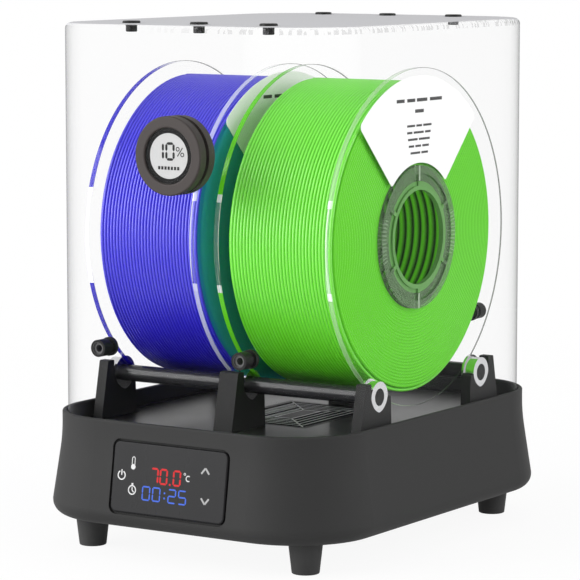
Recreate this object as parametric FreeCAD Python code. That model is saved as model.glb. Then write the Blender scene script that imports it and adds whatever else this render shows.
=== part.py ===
import FreeCAD, Part
import math
import os

# Filament dryer box: a heated base carries two reels on rollers under a clear lift-off cover.
# Millimetres, +Z up, -Y is the front with the control panel, +X is to the right of the front.
# The origin is on the floor under the middle of the box.

# Clearances
part_gap = 0.3
seat_gap = 0.1
running_gap = 0.05
screw_gap = 0.1
edge_tolerance = 1e-6

# Reels
reel_radius = 100.0
reel_width = 78.4
reel_spacing = 14.2
flange_rim = 3.0
flange_web = 2.4
flange_bead = 3.4
flange_slot_width = 3.6
flange_slot_half_angle = 15.3
hub_radius = 40.0
hub_bore = 28.0
hub_wall = 2.5
hub_recess = 1.2
hub_ribs = 6
hub_rib_width = 2.4
winding_inset = 8.0
winding_loops = 24
strand_diameter = 2.4
strand_sides = 8
label_half_angle = 44.3
label_thickness = 0.25
label_margin = 0.6
label_upper_round = 3.5
label_lower_round = 1.6

# Rollers, bushes and brackets
roller_radius = 5.0
roller_spread = 59.2
roller_height = 26.2
roller_chamfer = 0.8
roller_end_inset = 4.9
bush_radius = 9.0
bush_depth = 8.9
bush_flank_radius = 11.5
bush_collar = 1.5
bush_collar_lip = 1.2
bracket_thickness = 6.5
middle_bracket_thickness = 13.0
middle_bracket_web = 1.0
bracket_reel_gap = 2.5
bracket_cover_gap = 0.75
tall_post_height = 8.7
tall_post_width = 6.0
short_post_height = 0.6
short_post_width = 3.4
bracket_outer_lean = 7.2
bracket_inner_lean = 1.2
bracket_round = 1.0

# Cover
cover_wall = 3.0
cover_corner = 43.5
cover_top_round = 3.5
front_space = 27.0
head_space = 23.4
seal_thickness = 1.5

# Base
foot_height = 19.0
foot_radius_low = 8.0
foot_radius_high = 10.2
foot_inset_x = 33.8
foot_inset_y = 32.8
foot_round = 0.8
foot_recess_radius = 4.2
foot_recess_depth = 8.0
base_height = 62.0
rim_wall = 3.0
rim_gap = 0.5
rim_round = 1.2
rim_band = 15.0
rim_blend = 110.0
skirt_flare = 7.4
skirt_wall = 3.0
skirt_round = 8.0
lip_width = 14.0
lip_thickness = 2.5
deck_drop = 10.7
deck_thickness = 2.5
ledge_width = 4.0
ledge_thickness = 2.5
bottom_flange = 2.0
bottom_flange_lap = 4.7
post_radius = 5.0
post_hole_depth = 16.0

# Louvre grille in the deck
grille_half_x = 29.0
grille_half_y = 39.0
grille_frame = 3.5
grille_lap = 1.75
grille_thickness = 2.0
grille_rings = 5
slot_width = 2.9
slot_pitch = 4.7
mitre_rib = 1.3
duct_wall = 2.0
duct_corner = 1.0
duct_depth = 8.4

# Control panel
panel_width = 79.6
panel_height = 41.4
panel_centre_z = 49.3
panel_thickness = 1.9
panel_corner = 4.0
panel_edge_round = 1.0
panel_groove = 1.2
pocket_depth = 1.9
panel_board_width = 70.0
panel_board_height = 24.0
panel_board_drop = 6.0
panel_board_thickness = 1.6
panel_board_standoff = 3.0
panel_board_post_radius = 3.0
ribbon_slot_width = 16.0
ribbon_slot_height = 4.0

# Screws
base_screw_radius = 1.9
base_screw_head_radius = 3.6
base_screw_head = 3.0
base_screw_grip = 14.0
bracket_screw_radius = 1.45
bracket_screw_head_radius = 2.6
bracket_screw_head = 1.8
bracket_screw_grip = 7.5
bracket_screw_tip_gap = 1.0
bracket_screw_inner = 11.0
bracket_screw_outer = 13.0
screw_head_round = 0.6

# Fan and heater under the grille
fan_size = 60.0
fan_depth = 15.0
fan_corner = 4.0
fan_bore = 28.5
fan_hole_spacing = 50.0
fan_hole_radius = 2.15
fan_base_plate = 2.0
fan_boss_radius = 13.0
fan_struts = 3
fan_strut_width = 4.0
fan_standoff = 8.0
fan_standoff_radius = 4.0
rotor_hub_radius = 14.0
rotor_lift = 0.6
rotor_top_gap = 1.4
rotor_tip_gap = 1.0
rotor_blades = 7
blade_thickness = 1.4
blade_tilt = 38.0
blade_root = 1.0
rotor_shaft_radius = 1.5
heater_depth = 12.0
heater_window = 54.0
heater_fins = 9
heater_fin_thickness = 1.2
heater_bar = 5.0
heater_bar_depth = 6.0
heater_bar_spacing = 27.0
probe_radius = 1.8
probe_length = 16.0
probe_tab_length = 12.0
probe_tab_width = 8.0
probe_tab_thickness = 1.2
probe_leg_width = 1.8

# Power board and inlet
board_length = 64.0
board_width = 44.0
board_thickness = 1.6
board_standoff = 6.0
board_standoff_radius = 3.0
board_offset_y = 68.0
board_parts_gap = 4.0
coil_length = 20.0
coil_height = 18.0
capacitor_x = 8.0
capacitor_radius = 6.0
capacitor_height = 20.0
sink_thickness = 4.0
inlet_x = 58.0
inlet_z = 42.0
inlet_body_radius = 6.0
inlet_flange_radius = 7.5
inlet_flange = 2.0
inlet_recess = 1.0
inlet_body_length = 12.0
inlet_boss_wall = 3.0
inlet_boss_length = 6.0
inlet_bore = 3.0
inlet_bore_depth = 9.0
inlet_pin_radius = 1.0

# Plugs in the cover's top
plug_columns = 3
plug_pitch = 47.7
plug_row_inset = 26.0
plug_head_radius = 5.2
plug_head = 1.4
plug_stem_radius = 3.3
plug_stem_length = 5.0
plug_stem_round = 0.6
plug_head_round = 0.7

# Tube outlets in the cover's front and rear walls
outlet_height = 123.0
outlet_collar_radius = 5.0
outlet_collar_length = 7.0
outlet_stem_radius = 4.0
outlet_nut_radius = 5.5
outlet_nut = 2.5
outlet_bore = 2.1
outlet_recess_radius = 3.5
outlet_recess_depth = 1.2

# Humidity gauge on the cover's front wall
gauge_height = 236.5
gauge_bezel_radius = 22.7
gauge_bezel = 6.0
gauge_bezel_round = 1.0
gauge_neck_radius = 20.0
gauge_neck_length = 10.0
gauge_window_radius = 16.0
gauge_window_depth = 2.4
gauge_display = 1.0
gauge_lens = 1.0
gauge_ring = 5.5
gauge_ring_notch = 4.0
gauge_ring_notch_depth = 2.75

# Levels and outlines worked out from the sizes above
base_z = foot_height
rim_z = base_z + base_height
deck_z = rim_z - deck_drop
deck_under_z = deck_z - deck_thickness
plate_top_z = base_z + lip_thickness + bottom_flange
roller_z = deck_z + roller_height
rolling_distance = reel_radius + roller_radius + part_gap
reel_z = roller_z + math.sqrt(rolling_distance ** 2 - roller_spread ** 2)
cover_bottom_z = deck_z + seal_thickness
cover_inner_top_z = reel_z + reel_radius + head_space
cover_top_z = cover_inner_top_z + cover_wall
side_bracket_x = reel_spacing / 2 + reel_width + bracket_reel_gap
cover_half_x = side_bracket_x + bracket_thickness + bracket_cover_gap + cover_wall
cover_half_y = reel_radius + front_space + cover_wall
rim_out = rim_gap + rim_wall
skirt_out = rim_out + skirt_flare
band_z = rim_z - rim_band
skirt_slope = skirt_flare / (band_z - base_z)
outlet_x = cover_half_x - cover_corner - outlet_nut_radius - seat_gap
foot_x = cover_half_x + skirt_out - foot_inset_x
foot_y = cover_half_y + skirt_out - foot_inset_y
reel_middle = reel_spacing / 2 + reel_width / 2
strand_radius = strand_diameter / 2
winding_radius = reel_radius - winding_inset
front = -1
rear = 1
sides = {"front": front, "rear": rear}


def vector(x, y, z):
    """Shorthand for a point or direction."""
    return FreeCAD.Vector(x, y, z)


x_axis = vector(1, 0, 0)
y_axis = vector(0, 1, 0)
z_axis = vector(0, 0, 1)
origin = vector(0, 0, 0)


def in_xz(a, b):
    """Point of a profile drawn in the XZ plane."""
    return vector(a, 0, b)


def in_yz(a, b):
    """Point of a profile drawn in the YZ plane."""
    return vector(0, a, b)


def in_xy(a, b):
    """Point of a profile drawn in the XY plane."""
    return vector(a, b, 0)


def rounded_face(corners, plane):
    """Face inside a polygon whose corners (a, b, radius) are rounded by tangent arcs."""
    points = [plane(a, b) for a, b, radius in corners]
    radii = [radius for a, b, radius in corners]
    count = len(corners)
    starts = []
    ends = []
    middles = []
    for index in range(count):
        here = points[index]
        back = (points[index - 1] - here).normalize()
        ahead = (points[(index + 1) % count] - here).normalize()
        half_turn = back.getAngle(ahead) / 2
        reach = radii[index] / math.tan(half_turn)
        starts.append(here + back * reach)
        ends.append(here + ahead * reach)
        inward = (back + ahead).normalize()
        middles.append(here + inward * (radii[index] / math.sin(half_turn) - radii[index]))
    edges = []
    for index in range(count):
        if radii[index] > 0:
            edges.append(Part.Arc(starts[index], middles[index], ends[index]).toShape())
        following = starts[(index + 1) % count]
        if ends[index].distanceToPoint(following) > edge_tolerance:
            edges.append(Part.LineSegment(ends[index], following).toShape())
    return Part.Face(Part.Wire(edges))


def sharp_face(corners, plane):
    """Face inside a polygon with sharp corners (a, b)."""
    return rounded_face([(a, b, 0) for a, b in corners], plane)


def plan_face(half_x, half_y, corner):
    """Rounded rectangle on the XY plane, centred on the origin."""
    return rounded_face([(-half_x, -half_y, corner), (half_x, -half_y, corner),
                         (half_x, half_y, corner), (-half_x, half_y, corner)], in_xy)


def plan_block(half_x, half_y, corner, low_z, high_z):
    """Upright block on a rounded rectangle."""
    face = plan_face(half_x, half_y, corner).translated(vector(0, 0, low_z))
    return face.extrude(z_axis * (high_z - low_z))


def cover_plan(offset, low_z, high_z):
    """Upright block on the cover's outline, moved outwards by an offset."""
    return plan_block(cover_half_x + offset, cover_half_y + offset, cover_corner + offset, low_z, high_z)


def sweep_round_cover(profile):
    """Carry a profile (x outwards from the cover's outline, z) once round the outline."""
    pieces = []
    for turn in range(4):
        half_a, half_b = (cover_half_x, cover_half_y) if turn % 2 == 0 else (cover_half_y, cover_half_x)
        run = half_b - cover_corner
        side = profile.translated(vector(half_a, -run, 0)).extrude(y_axis * 2 * run)
        corner_axis = vector(half_a - cover_corner, run, 0)
        corner = profile.translated(vector(half_a, run, 0)).revolve(corner_axis, z_axis, 90)
        for piece in (side, corner):
            pieces.append(piece.rotated(origin, z_axis, 90 * turn))
    return pieces[0].multiFuse(pieces[1:]).removeSplitter()


def turned(profile, place, axis):
    """Full turn of a profile about an axis through a place."""
    return profile.revolve(place, axis, 360)


def upright_cylinder(radius, low_z, high_z, x, y):
    """Cylinder along Z between two levels."""
    return Part.makeCylinder(radius, high_z - low_z, vector(x, y, low_z), z_axis)


def box_between(low, high):
    """Box from its lowest to its highest corner."""
    return Part.makeBox(high.x - low.x, high.y - low.y, high.z - low.z, low)


def save(name, shape):
    """Write one node, and check that its solids are sound."""
    if not shape.isValid() or shape.Volume <= 0:
        raise ValueError("bad solid: " + name)
    shape.exportStep("parts/" + name + ".step")


# Base: shell, deck, grille, bottom plate, feet and screws

def foot_places():
    """The four foot centres."""
    return [(sign_x * foot_x, sign_y * foot_y) for sign_x in (-1, 1) for sign_y in (-1, 1)]


def wall_offset(z):
    """How far the base's outer wall stands out from the cover's outline at a height."""
    return rim_out + skirt_slope * max(0, band_z - z)


def panel_placed(shape):
    """Lean a panel piece, drawn upright on the XZ plane, onto the front wall of the base."""
    low = wall_offset(panel_centre_z - panel_height / 2)
    high = wall_offset(panel_centre_z + panel_height / 2)
    tilt = math.degrees(math.atan((low - high) / panel_height))
    place = vector(0, -(cover_half_y + (low + high) / 2), panel_centre_z)
    return shape.rotated(origin, x_axis, -tilt).translated(place)


def panel_block(half_x, half_z, corner, front_y, back_y):
    """Rounded block for the panel and its pocket, from a front to a back distance along Y."""
    corners = [(-half_x, -half_z, corner), (half_x, -half_z, corner),
               (half_x, half_z, corner), (-half_x, half_z, corner)]
    return rounded_face(corners, in_xz).translated(y_axis * front_y).extrude(y_axis * (back_y - front_y))


def inlet_seat_y():
    """Flat seat of the power inlet, just inside the slanted rear wall at the flange's upper edge."""
    return cover_half_y + wall_offset(inlet_z + inlet_flange_radius) - inlet_recess


def panel_board_places():
    """Four posts behind the front wall that carry the panel's board, as (x, z) from the panel's centre."""
    half_x = panel_board_width / 2 - panel_board_post_radius
    half_z = panel_board_height / 2 - panel_board_post_radius
    return [(sign_x * half_x, sign_z * half_z - panel_board_drop) for sign_x in (-1, 1) for sign_z in (-1, 1)]


def panel_board_front():
    """Depth of the panel board's front face behind the panel's face."""
    return skirt_wall + panel_board_standoff


def base_shell():
    """Flared ring with an upright rim, a ledge for the deck, a panel pocket and a turned-in lower lip."""
    inner_low = wall_offset(base_z + lip_thickness) - skirt_wall
    ledge_in = rim_gap - ledge_width
    ledge_under_z = deck_under_z - ledge_thickness
    profile = rounded_face([
        (skirt_out - lip_width, base_z, 0),
        (skirt_out, base_z, skirt_round),
        (rim_out, band_z, rim_blend),
        (rim_out, rim_z, rim_round),
        (rim_gap, rim_z, rim_round),
        (rim_gap, deck_under_z, 0),
        (ledge_in, deck_under_z, 0),
        (ledge_in, ledge_under_z, 0),
        (rim_gap, ledge_under_z - ledge_width, 0),
        (inner_low, base_z + lip_thickness, skirt_round - skirt_wall),
        (skirt_out - lip_width, base_z + lip_thickness, 0)], in_xz)
    shell = sweep_round_cover(profile)
    inlet_place = vector(inlet_x, inlet_seat_y(), inlet_z)
    boss_start = inlet_place - y_axis * inlet_boss_length
    boss = Part.makeCylinder(inlet_flange_radius + inlet_boss_wall, inlet_boss_length, boss_start, y_axis)
    added = [boss]
    for x, z in panel_board_places():
        post_length = panel_board_front() - pocket_depth
        post = Part.makeCylinder(panel_board_post_radius, post_length, vector(x, pocket_depth, z), y_axis)
        added.append(panel_placed(post))
    pocket = panel_block(panel_width / 2 + panel_groove, panel_height / 2 + panel_groove,
                         panel_corner + panel_groove, -skirt_flare, pocket_depth)
    ribbon = panel_block(ribbon_slot_width / 2, ribbon_slot_height / 2, 0, 0, panel_board_front())
    hole = Part.makeCylinder(inlet_body_radius + seat_gap, inlet_boss_length, boss_start, y_axis)
    mouth = Part.makeCylinder(inlet_flange_radius + part_gap, skirt_out, inlet_place, y_axis)
    cuts = Part.makeCompound([panel_placed(pocket), panel_placed(ribbon), hole, mouth])
    return shell.multiFuse(added).cut(cuts).removeSplitter()


def bracket_screw_places():
    """Two screw centres under each bracket."""
    places = []
    for x in (-side_bracket_x - bracket_thickness / 2, 0, side_bracket_x + bracket_thickness / 2):
        for side in sides.values():
            places.append((x, side * (roller_spread - bracket_screw_inner)))
            places.append((x, side * (roller_spread + bracket_screw_outer)))
    return places


def grille_opening():
    """Half sizes of the deck's opening for the grille."""
    return grille_half_x + grille_lap, grille_half_y + grille_lap


def chamber_deck():
    """Plate on the ledge, with screw posts, the grille's opening and a short duct under it."""
    deck = cover_plan(rim_gap - part_gap, deck_under_z, deck_z)
    open_x, open_y = grille_opening()
    duct_z = deck_under_z - duct_depth
    duct = plan_block(open_x + duct_wall, open_y + duct_wall, duct_corner + duct_wall, duct_z, deck_under_z)
    posts = [upright_cylinder(post_radius, plate_top_z, deck_under_z, x, y) for x, y in foot_places()]
    deck = deck.multiFuse([duct] + posts)
    cuts = [plan_block(open_x, open_y, duct_corner, duct_z, deck_z)]
    rebate_x = grille_half_x + grille_frame + seat_gap
    rebate_y = grille_half_y + grille_frame + seat_gap
    cuts.append(plan_block(rebate_x, rebate_y, duct_wall, deck_z - grille_thickness, deck_z))
    post_hole_z = plate_top_z + post_hole_depth
    for x, y in foot_places():
        cuts.append(upright_cylinder(base_screw_radius + running_gap, plate_top_z, post_hole_z, x, y))
    for x, y in bracket_screw_places():
        cuts.append(upright_cylinder(bracket_screw_radius + screw_gap, deck_under_z, deck_z, x, y))
    probe_place = vector(open_x - probe_length / 2, 0, deck_under_z - duct_depth / 2)
    cuts.append(Part.makeCylinder(probe_radius + seat_gap, probe_length, probe_place, x_axis))
    return deck.cut(Part.makeCompound(cuts))


def air_grille():
    """Plate with slots in nested rectangles, parted at the corners by thin mitred ribs."""
    plate = plan_block(grille_half_x + grille_frame, grille_half_y + grille_frame, duct_wall - seat_gap,
                       deck_z - grille_thickness, deck_z)
    slots = []
    rib = mitre_rib / math.sqrt(2)
    for ring in range(grille_rings):
        for half_a, half_b, turn in ((grille_half_x, grille_half_y, 0), (grille_half_y, grille_half_x, 90)):
            outer_a = half_a - ring * slot_pitch
            outer_b = half_b - ring * slot_pitch
            inner_a = outer_a - slot_width
            inner_b = outer_b - slot_width
            slot = sharp_face([(-outer_a + rib, outer_b), (outer_a - rib, outer_b),
                               (inner_a - rib, inner_b), (-inner_a + rib, inner_b)], in_xy)
            block = slot.translated(z_axis * (deck_z - grille_thickness)).extrude(z_axis * grille_thickness)
            slots.append(block.rotated(origin, z_axis, turn))
            slots.append(block.rotated(origin, z_axis, turn + 180))
    return plate.cut(Part.makeCompound(slots))


def bottom_plate():
    """Plate let into the shell's lower lip, with a flange over the lip and standoffs inside."""
    lip_in = skirt_out - lip_width
    plate = cover_plan(lip_in - part_gap, base_z, base_z + lip_thickness)
    added = [cover_plan(lip_in + bottom_flange_lap, base_z + lip_thickness, plate_top_z)]
    for x, y in fan_hole_places():
        added.append(upright_cylinder(fan_standoff_radius, plate_top_z, fan_low_z(), x, y))
    for x, y in board_hole_places():
        added.append(upright_cylinder(board_standoff_radius, plate_top_z, plate_top_z + board_standoff, x, y))
    hole = base_screw_radius + screw_gap
    holes = [upright_cylinder(hole, base_z, plate_top_z, x, y) for x, y in foot_places()]
    return plate.multiFuse(added).cut(Part.makeCompound(holes))


def feet():
    """Four tapered feet with a recess for their screws."""
    result = []
    for x, y in foot_places():
        side = sharp_face([(foot_recess_radius, 0), (foot_radius_low, 0), (foot_radius_high, foot_height),
                           (base_screw_radius + screw_gap, foot_height),
                           (base_screw_radius + screw_gap, foot_recess_depth),
                           (foot_recess_radius, foot_recess_depth)], in_xz)
        foot = turned(side, origin, z_axis)
        low_edge = [edge for edge in foot.Edges if edge.BoundBox.ZMax < edge_tolerance
                    and edge.BoundBox.XMax > (foot_recess_radius + foot_radius_low) / 2]
        result.append(foot.makeFillet(foot_round, low_edge).translated(vector(x, y, 0)))
    return Part.makeCompound(result)


def screw(head_radius, head, shank_radius, length):
    """Pan screw that points up from the origin, head below."""
    tip = length - shank_radius
    side = rounded_face([(0, -head, 0), (head_radius, -head, screw_head_round), (head_radius, 0, 0),
                         (shank_radius, 0, 0), (shank_radius, tip, 0), (0, length, 0)], in_xz)
    return turned(side, origin, z_axis)


def base_screws():
    """Screws up through the feet and the bottom plate into the deck's posts."""
    length = plate_top_z - foot_recess_depth + base_screw_grip
    shape = screw(base_screw_head_radius, base_screw_head, base_screw_radius, length)
    places = [vector(x, y, foot_recess_depth) for x, y in foot_places()]
    return Part.makeCompound([shape.translated(place) for place in places])


def bracket_screws():
    """Screws up through the deck into the brackets."""
    length = deck_thickness + bracket_screw_grip
    shape = screw(bracket_screw_head_radius, bracket_screw_head, bracket_screw_radius, length)
    places = [vector(x, y, deck_under_z) for x, y in bracket_screw_places()]
    return Part.makeCompound([shape.translated(place) for place in places])


# Control panel

def control_panel():
    """Touch plate in the pocket, with a softly rounded front edge."""
    front_y = pocket_depth - panel_thickness
    block = panel_block(panel_width / 2, panel_height / 2, panel_corner, front_y, pocket_depth)
    rim = [edge for edge in block.Edges if edge.BoundBox.YMax < front_y + edge_tolerance]
    return panel_placed(block.makeFillet(panel_edge_round, rim))


def panel_board():
    """Board on the posts behind the front wall."""
    low = panel_board_front()
    board = panel_block(panel_board_width / 2, panel_board_height / 2, 0, low, low + panel_board_thickness)
    return panel_placed(board.translated(z_axis * -panel_board_drop))


# Fan, heater, probe, power board and inlet

def fan_hole_places():
    """The fan's four screw holes."""
    half = fan_hole_spacing / 2
    return [(sign_x * half, sign_y * half) for sign_x in (-1, 1) for sign_y in (-1, 1)]


def fan_low_z():
    """Underside of the fan."""
    return plate_top_z + fan_standoff


def fan_frame():
    """Square fan frame with a round bore, a motor plate on struts and corner holes."""
    low = fan_low_z()
    high = low + fan_depth
    frame = plan_block(fan_size / 2, fan_size / 2, fan_corner, low, high)
    frame = frame.cut(upright_cylinder(fan_bore, low, high, 0, 0))
    plate = [upright_cylinder(fan_boss_radius, low, low + fan_base_plate, 0, 0)]
    for index in range(fan_struts):
        strut = box_between(vector(0, -fan_strut_width / 2, low),
                            vector(fan_size / 2, fan_strut_width / 2, low + fan_base_plate))
        plate.append(strut.rotated(origin, z_axis, 360 * index / fan_struts))
    frame = frame.multiFuse(plate)
    holes = [upright_cylinder(fan_hole_radius, low, high, x, y) for x, y in fan_hole_places()]
    holes.append(upright_cylinder(rotor_shaft_radius + running_gap, low, high, 0, 0))
    return frame.cut(Part.makeCompound(holes)).removeSplitter()


def fan_rotor():
    """Hub with tilted blades on a short shaft that turns in the motor plate."""
    low = fan_low_z() + fan_base_plate + rotor_lift
    high = fan_low_z() + fan_depth - rotor_top_gap
    hub = upright_cylinder(rotor_hub_radius, low, high, 0, 0)
    shaft = upright_cylinder(rotor_shaft_radius, fan_low_z(), low, 0, 0)
    tip = fan_bore - rotor_tip_gap
    middle = (low + high) / 2
    span = (high - low) / math.cos(math.radians(blade_tilt))
    blades = []
    for index in range(rotor_blades):
        blade = box_between(vector(rotor_hub_radius - blade_root, -blade_thickness / 2, -span),
                            vector(fan_bore, blade_thickness / 2, span))
        blade = blade.rotated(origin, x_axis, blade_tilt).translated(z_axis * middle)
        blades.append(blade.rotated(origin, z_axis, 360 * index / rotor_blades))
    sweep = upright_cylinder(tip, low, high, 0, 0)
    trimmed = Part.makeCompound(blades).common(sweep)
    return hub.fuse(shaft).multiFuse(trimmed.Solids).removeSplitter()


def heater():
    """Frame on top of the fan with heating bars and a row of fins."""
    low = fan_low_z() + fan_depth
    high = low + heater_depth
    half = heater_window / 2
    frame = plan_block(fan_size / 2, fan_size / 2, fan_corner, low, high)
    frame = frame.cut(plan_block(half, half, 0, low, high))
    pieces = []
    for index in range(heater_fins):
        x = -half + heater_window * (index + 1) / (heater_fins + 1)
        pieces.append(box_between(vector(x - heater_fin_thickness / 2, -half, low),
                                  vector(x + heater_fin_thickness / 2, half, high)))
    bar_z = (low + high - heater_bar_depth) / 2
    for y in (-heater_bar_spacing / 2, heater_bar_spacing / 2):
        pieces.append(box_between(vector(-half, y - heater_bar / 2, bar_z),
                                  vector(half, y + heater_bar / 2, bar_z + heater_bar_depth)))
    frame = frame.multiFuse(pieces)
    holes = [upright_cylinder(fan_hole_radius, low, high, x, y) for x, y in fan_hole_places()]
    return frame.cut(Part.makeCompound(holes)).removeSplitter()


def temperature_probe():
    """Probe through the duct's wall, on a tab under the deck."""
    open_x, open_y = grille_opening()
    middle_z = deck_under_z - duct_depth / 2
    tab_x = open_x + duct_wall
    bulb_place = vector(tab_x - probe_length / 2, 0, middle_z)
    bulb = Part.makeCylinder(probe_radius, probe_length, bulb_place, x_axis)
    tab = box_between(vector(tab_x, -probe_tab_width / 2, deck_under_z - probe_tab_thickness),
                      vector(tab_x + probe_tab_length, probe_tab_width / 2, deck_under_z))
    leg = box_between(vector(tab_x, -probe_leg_width / 2, middle_z),
                      vector(tab_x + probe_leg_width, probe_leg_width / 2, deck_under_z))
    return bulb.multiFuse([tab, leg]).removeSplitter()


def board_hole_places():
    """Standoffs under the power board."""
    half_x = board_length / 2 - board_standoff_radius
    half_y = board_width / 2 - board_standoff_radius
    return [(sign_x * half_x, board_offset_y + sign_y * half_y) for sign_x in (-1, 1) for sign_y in (-1, 1)]


def power_board():
    """Board with a coil, two capacitors and a heat sink."""
    low = plate_top_z + board_standoff
    top = low + board_thickness
    half_x = board_length / 2
    half_y = board_width / 2
    board = box_between(vector(-half_x, -half_y, low), vector(half_x, half_y, top))
    parts_half_y = half_y - board_parts_gap
    coil_x = -half_x + board_parts_gap
    coil = box_between(vector(coil_x, -parts_half_y, top),
                       vector(coil_x + coil_length, parts_half_y, top + coil_height))
    sink_x = half_x - board_parts_gap
    sink = box_between(vector(sink_x - sink_thickness, -parts_half_y, top),
                       vector(sink_x, parts_half_y, top + coil_height))
    pieces = [coil, sink]
    for sign in (-1, 1):
        y = sign * (capacitor_radius + board_parts_gap / 2)
        pieces.append(upright_cylinder(capacitor_radius, top, top + capacitor_height, capacitor_x, y))
    return board.multiFuse(pieces).translated(y_axis * board_offset_y)


def power_inlet():
    """Round low-voltage socket in the rear wall, with its centre pin."""
    bore_floor = inlet_flange - inlet_bore_depth
    body = sharp_face([(0, -inlet_body_length), (inlet_body_radius, -inlet_body_length),
                       (inlet_body_radius, 0), (inlet_flange_radius, 0),
                       (inlet_flange_radius, inlet_flange), (inlet_bore, inlet_flange),
                       (inlet_bore, bore_floor), (inlet_pin_radius, bore_floor),
                       (inlet_pin_radius, inlet_flange - seat_gap), (0, inlet_flange - seat_gap)], in_xy)
    socket = turned(body, origin, y_axis)
    return socket.translated(vector(inlet_x, inlet_seat_y(), inlet_z))


# Roller brackets, bushes and rollers

def bush_face(side, grow):
    """Outline of a bush: round above, two flank arcs meeting in a point below."""
    radius = bush_radius + grow
    depth = bush_depth + grow
    flank = bush_flank_radius + grow
    centre_y = side * roller_spread

    def place(a, b):
        return vector(0, centre_y + a, roller_z + b)

    chord_middle_a = radius / 2
    chord_middle_b = -depth / 2
    half_chord = math.hypot(radius, depth) / 2
    rise = flank - math.sqrt(flank ** 2 - half_chord ** 2)
    out_a = depth / (2 * half_chord)
    out_b = -radius / (2 * half_chord)
    bulge = (chord_middle_a + rise * out_a, chord_middle_b + rise * out_b)
    edges = [Part.Arc(place(radius, 0), place(0, radius), place(-radius, 0)).toShape(),
             Part.Arc(place(-radius, 0), place(-bulge[0], bulge[1]), place(0, -depth)).toShape(),
             Part.Arc(place(0, -depth), place(bulge[0], bulge[1]), place(radius, 0)).toShape()]
    return Part.Face(Part.Wire(edges))


def bracket(side, low_x, high_x, seat_spans):
    """Post bracket: tall outer post, seat for each bush, short inner post, and screw holes below."""
    notch = bush_radius + seat_gap
    tall_in = roller_spread + notch
    tall_out = tall_in + tall_post_width
    short_out = roller_spread - notch
    short_in = short_out - short_post_width
    tall_z = roller_z + tall_post_height
    short_z = roller_z - short_post_height
    web_z = short_z - bracket_round
    body = rounded_face([
        (side * (short_in - bracket_inner_lean), deck_z, 0),
        (side * short_in, short_z, bracket_round),
        (side * short_out, short_z, bracket_round),
        (side * short_out, web_z, 0),
        (side * tall_in, web_z, 0),
        (side * tall_in, tall_z, bracket_round),
        (side * tall_out, tall_z, bracket_round),
        (side * (tall_out + bracket_outer_lean), deck_z, 0)], in_yz)
    post = body.translated(x_axis * low_x).extrude(x_axis * (high_x - low_x))
    cuts = []
    for start, end in seat_spans:
        cuts.append(bush_face(side, seat_gap).translated(x_axis * start).extrude(x_axis * (end - start)))
    depth = bracket_screw_grip + bracket_screw_tip_gap
    for x, y in bracket_screw_places():
        if low_x < x < high_x and y * side > 0:
            cuts.append(upright_cylinder(bracket_screw_radius + running_gap, deck_z, deck_z + depth, x, y))
    return post.cut(Part.makeCompound(cuts)).removeSplitter()


def bush(side, low_x, high_x):
    """Plain bush through a bracket, without its bore."""
    return bush_face(side, 0).translated(x_axis * low_x).extrude(x_axis * (high_x - low_x))


def bored(side, shape):
    """Cut the roller's bearing bore through a bush."""
    length = 2 * cover_half_x
    place = vector(-cover_half_x, side * roller_spread, roller_z)
    return shape.cut(Part.makeCylinder(roller_radius + running_gap, length, place, x_axis))


def side_bush(side, hand):
    """Bush in an outer bracket, with a collar against the bracket's face towards the reel."""
    inner = hand * side_bracket_x
    outer = hand * (side_bracket_x + bracket_thickness)
    collar = bush_face(side, bush_collar_lip).translated(x_axis * inner).extrude(x_axis * -hand * bush_collar)
    return bored(side, bush(side, min(inner, outer), max(inner, outer)).fuse(collar).removeSplitter())


def middle_seat_spans():
    """The middle bracket's two seats, one each side of its web."""
    half = middle_bracket_thickness / 2
    web = middle_bracket_web / 2
    return [(-half, -web), (web, half)]


def middle_bushes(side):
    """Two bushes in the middle bracket, one each side of its web."""
    return Part.makeCompound([bored(side, bush(side, start, end)) for start, end in middle_seat_spans()])


def roller(side, hand):
    """Round bar from the middle bush into the side bush, short of its outer face, with chamfered ends."""
    start = middle_bracket_web / 2 + part_gap
    end = side_bracket_x + bracket_thickness - roller_end_inset
    half_profile = sharp_face([(start, 0), (end, 0), (end, roller_radius - roller_chamfer),
                               (end - roller_chamfer, roller_radius), (start + roller_chamfer, roller_radius),
                               (start, roller_radius - roller_chamfer)], in_xz)
    bar = turned(half_profile, origin, x_axis)
    if hand < 0:
        bar = bar.rotated(origin, z_axis, 180)
    return bar.translated(vector(0, side * roller_spread, roller_z))


# Reels of filament

def on_reel_axis(shape, middle_x):
    """Move a piece drawn about the X axis to its reel's place."""
    return shape.translated(vector(middle_x, 0, reel_z))


def winding_half():
    """Half the width between the flanges."""
    return reel_width / 2 - flange_rim


def flange_slot():
    """Curved slot just inside the bead at the reel's front, where the strand's end is tucked away."""
    high = reel_radius - flange_bead
    low = high - flange_slot_width
    middle = (low + high) / 2
    half = math.radians(flange_slot_half_angle)
    tip = half + flange_slot_width / (2 * middle)

    def place(radius, angle):
        return vector(winding_half(), -radius * math.cos(angle), radius * math.sin(angle))

    edges = [Part.Arc(place(high, -half), place(high, 0), place(high, half)).toShape(),
             Part.Arc(place(high, half), place(middle, tip), place(low, half)).toShape(),
             Part.Arc(place(low, half), place(low, 0), place(low, -half)).toShape(),
             Part.Arc(place(low, -half), place(middle, -tip), place(high, -half)).toShape()]
    return Part.Face(Part.Wire(edges)).extrude(x_axis * flange_rim)


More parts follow.
